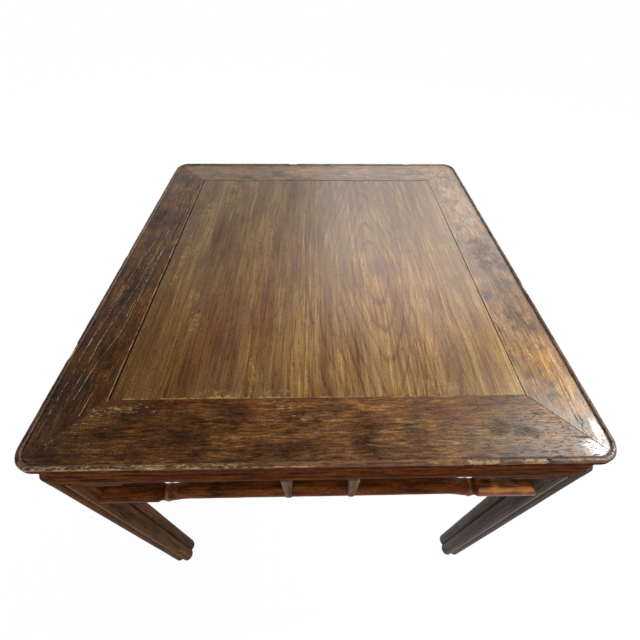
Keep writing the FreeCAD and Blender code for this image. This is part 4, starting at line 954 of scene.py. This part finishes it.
def spandrel(turns, side, end):
    # from the tip towards the leg: a shallow arc down to the first step, a flat nose, and a quarter circle
    # down to the foot, which runs on into the leg
    looks = spandrelLooks
    legInside = legAxis - legWidth / 2
    foot, firstLevel = apronUnder - looks["height"], apronUnder - looks["step"]
    firstEnd = legInside - looks["length"] + looks["run"]
    firstRadius = (looks["run"] ** 2 + looks["step"] ** 2) / (2 * looks["step"])
    opened = math.degrees(math.asin(looks["run"] / firstRadius))
    secondRadius = looks["height"] - looks["step"]
    noseEnd, inLeg = firstEnd + looks["nose"], legInside + looks["intoLeg"]
    outline = np.concatenate([
        arc((firstEnd, firstLevel + firstRadius), firstRadius, 270 - opened, 270, 8),
        [(firstEnd, firstLevel)],
        arc((noseEnd + secondRadius, firstLevel), secondRadius, 180, 270, 8),
        [(noseEnd + secondRadius, foot), (inLeg, foot), (inLeg, apronUnder)]])
    outline[:, 0] *= side
    front = face - looks["setback"]
    cutBoard("spandrel_%s_%s" % (sides[turns], end), turns, outline, front, front - looks["thickness"],
             looks["bevel"], railWoods[turns])


def strut(turns, side, end):
    # a straight upright with a narrower foot, rounded by a half circle on the stretcher's middle line
    looks = strutLooks
    middle, halfWidth, footHalf = side * looks["spacing"] / 2, looks["width"] / 2, looks["footWidth"] / 2
    footLevel = stretcherTop - stretcherLooks["radius"] + footHalf
    outline = np.concatenate([
        [(middle + halfWidth, apronUnder), (middle - halfWidth, apronUnder)],
        arc((middle, footLevel), footHalf, 180, 360, 12),
        [(middle + footHalf, footLevel)]])
    cutBoard("strut_%s_%s" % (sides[turns], end), turns, outline, face, face - looks["depth"],
             looks["bevel"], strutWood)


for turns in range(4):
    for side, end in ((-1, "a"), (1, "b")):
        spandrel(turns, side, end)
        strut(turns, side, end)
for node in ("batten_front", "batten_middle", "batten_back", "frame_pegs", "strip_pegs"):
    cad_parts[node].data.materials.clear()
    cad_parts[node].data.materials.append(battenWood)
print("spandrels, struts, battens and pegs ready")

# Floor, light and camera. The floor is matte white paint that keeps the table's shadow and shows as white.
stage = {"floorHalf": 30.0, "floorColour": "#EDEDED", "whiteShare": 0.965, "skyStrength": 1.25,
         "skySteps": [(0.40, 1.0), (0.62, 0.5), (0.80, 0.03)]}
reach = stage["floorHalf"]
floorMesh = bpy.data.meshes.new("floor")
floorMesh.from_pydata([(-reach, -reach, 0), (reach, -reach, 0), (reach, reach, 0), (-reach, reach, 0)], [],
                      [(0, 1, 2, 3)])
floor = newObject("floor", floorMesh)
floorPaint = bpy.data.materials.new("matteWhiteFloor")
tree = clearedTree(floorPaint)
path = add(tree, "LightPath")
seen = path.outputs["Is Camera Ray"]
for ray in ("Is Glossy Ray", "Is Transmission Ray"):
    seen = add(tree, "Math", {0: seen, 1: path.outputs[ray]}, operation="MAXIMUM")
share = add(tree, "Math", {0: seen, 1: stage["whiteShare"]}, operation="MULTIPLY")
matte = add(tree, "BsdfDiffuse", {"Color": toLinear(stage["floorColour"])})
glow = add(tree, "Emission", {"Color": (1, 1, 1, 1), "Strength": 1})
add(tree, "OutputMaterial", {"Surface": add(tree, "MixShader", {0: share, 1: matte, 2: glow})})
floorMesh.materials.append(floorPaint)

world = bpy.data.worlds.new("studio")
bpy.context.scene.world = world
tree = clearedTree(world)
up = add(tree, "SeparateXYZ", {0: add(tree, "TexCoord").outputs["Generated"]}).outputs["Z"]
sky = add(tree, "ValToRGB", {"Fac": up}, stops=stage["skySteps"])
sky = add(tree, "Background", {"Color": sky, "Strength": stage["skyStrength"]})
add(tree, "OutputWorld", {"Surface": sky})


def aim(holder, spot, right, over, away):
    # places a lamp or camera in metres: its local axes point right, over and away from what it looks at
    turn = np.eye(4)
    turn[:3, :3] = np.stack([right, over, away], axis=1)
    turn[:3, 3] = spot
    holder.matrix_world = Matrix(turn.tolist())


# Softboxes: place and target in metres, size in metres, power in watts.
softboxes = {
    "softboxRight": {"spot": (1.325, -0.017, 2.118), "target": (0.41, -0.43, 0.87), "size": (0.45, 0.45),
                     "power": 24},
    "softboxBackRight": {"spot": (1.05, 2.2, 2.9), "target": (0.1, 0.0, 0.87), "size": (2.2, 1.5),
                         "power": 62},
}
for name, box in softboxes.items():
    lamp = bpy.data.lights.new(name, "AREA")
    lamp.shape = "RECTANGLE"
    lamp.size, lamp.size_y = box["size"]
    lamp.energy = box["power"]
    away = np.array(box["spot"]) - np.array(box["target"])
    away /= np.linalg.norm(away)
    right = np.cross((0, 0, 1), away)
    right /= np.linalg.norm(right)
    aim(newObject(name, lamp), box["spot"], right, np.cross(away, right), away)
fill = {"energy": 1.2, "spread": 50, "tilt": 35, "turn": 15}
sun = bpy.data.lights.new("overheadFill", "SUN")
sun.energy = fill["energy"]
sun.angle = math.radians(fill["spread"])
newObject("overheadFill", sun).rotation_euler = (math.radians(fill["tilt"]), 0, math.radians(fill["turn"]))

# Camera: place in metres, angles in radians, focal length and middle of the picture in its pixels.
camera = {"position": (-0.00895, -0.61948, 1.44256), "yaw": 0.02859, "pitch": 0.74351, "roll": 0.01568,
          "focal": 354.054, "middle": (321.628, 256.045), "image": 640, "sensor": 36}
yaw, pitch, roll = camera["yaw"], camera["pitch"], camera["roll"]
forward = np.array([math.sin(yaw) * math.cos(pitch), math.cos(yaw) * math.cos(pitch), -math.sin(pitch)])
level = np.array([math.cos(yaw), -math.sin(yaw), 0])
upward = np.cross(level, forward)
cameraData = bpy.data.cameras.new("camera")
cameraData.sensor_width = camera["sensor"]
cameraData.lens = camera["focal"] / camera["image"] * camera["sensor"]
cameraData.shift_x = (camera["image"] / 2 - camera["middle"][0]) / camera["image"]
cameraData.shift_y = (camera["middle"][1] - camera["image"] / 2) / camera["image"]
cameraHolder = newObject("camera", cameraData)
aim(cameraHolder, camera["position"], math.cos(roll) * level + math.sin(roll) * upward,
    -math.sin(roll) * level + math.cos(roll) * upward, -forward)
bpy.context.scene.camera = cameraHolder
bpy.context.scene.view_settings.view_transform = "Standard"
print("stage ready")
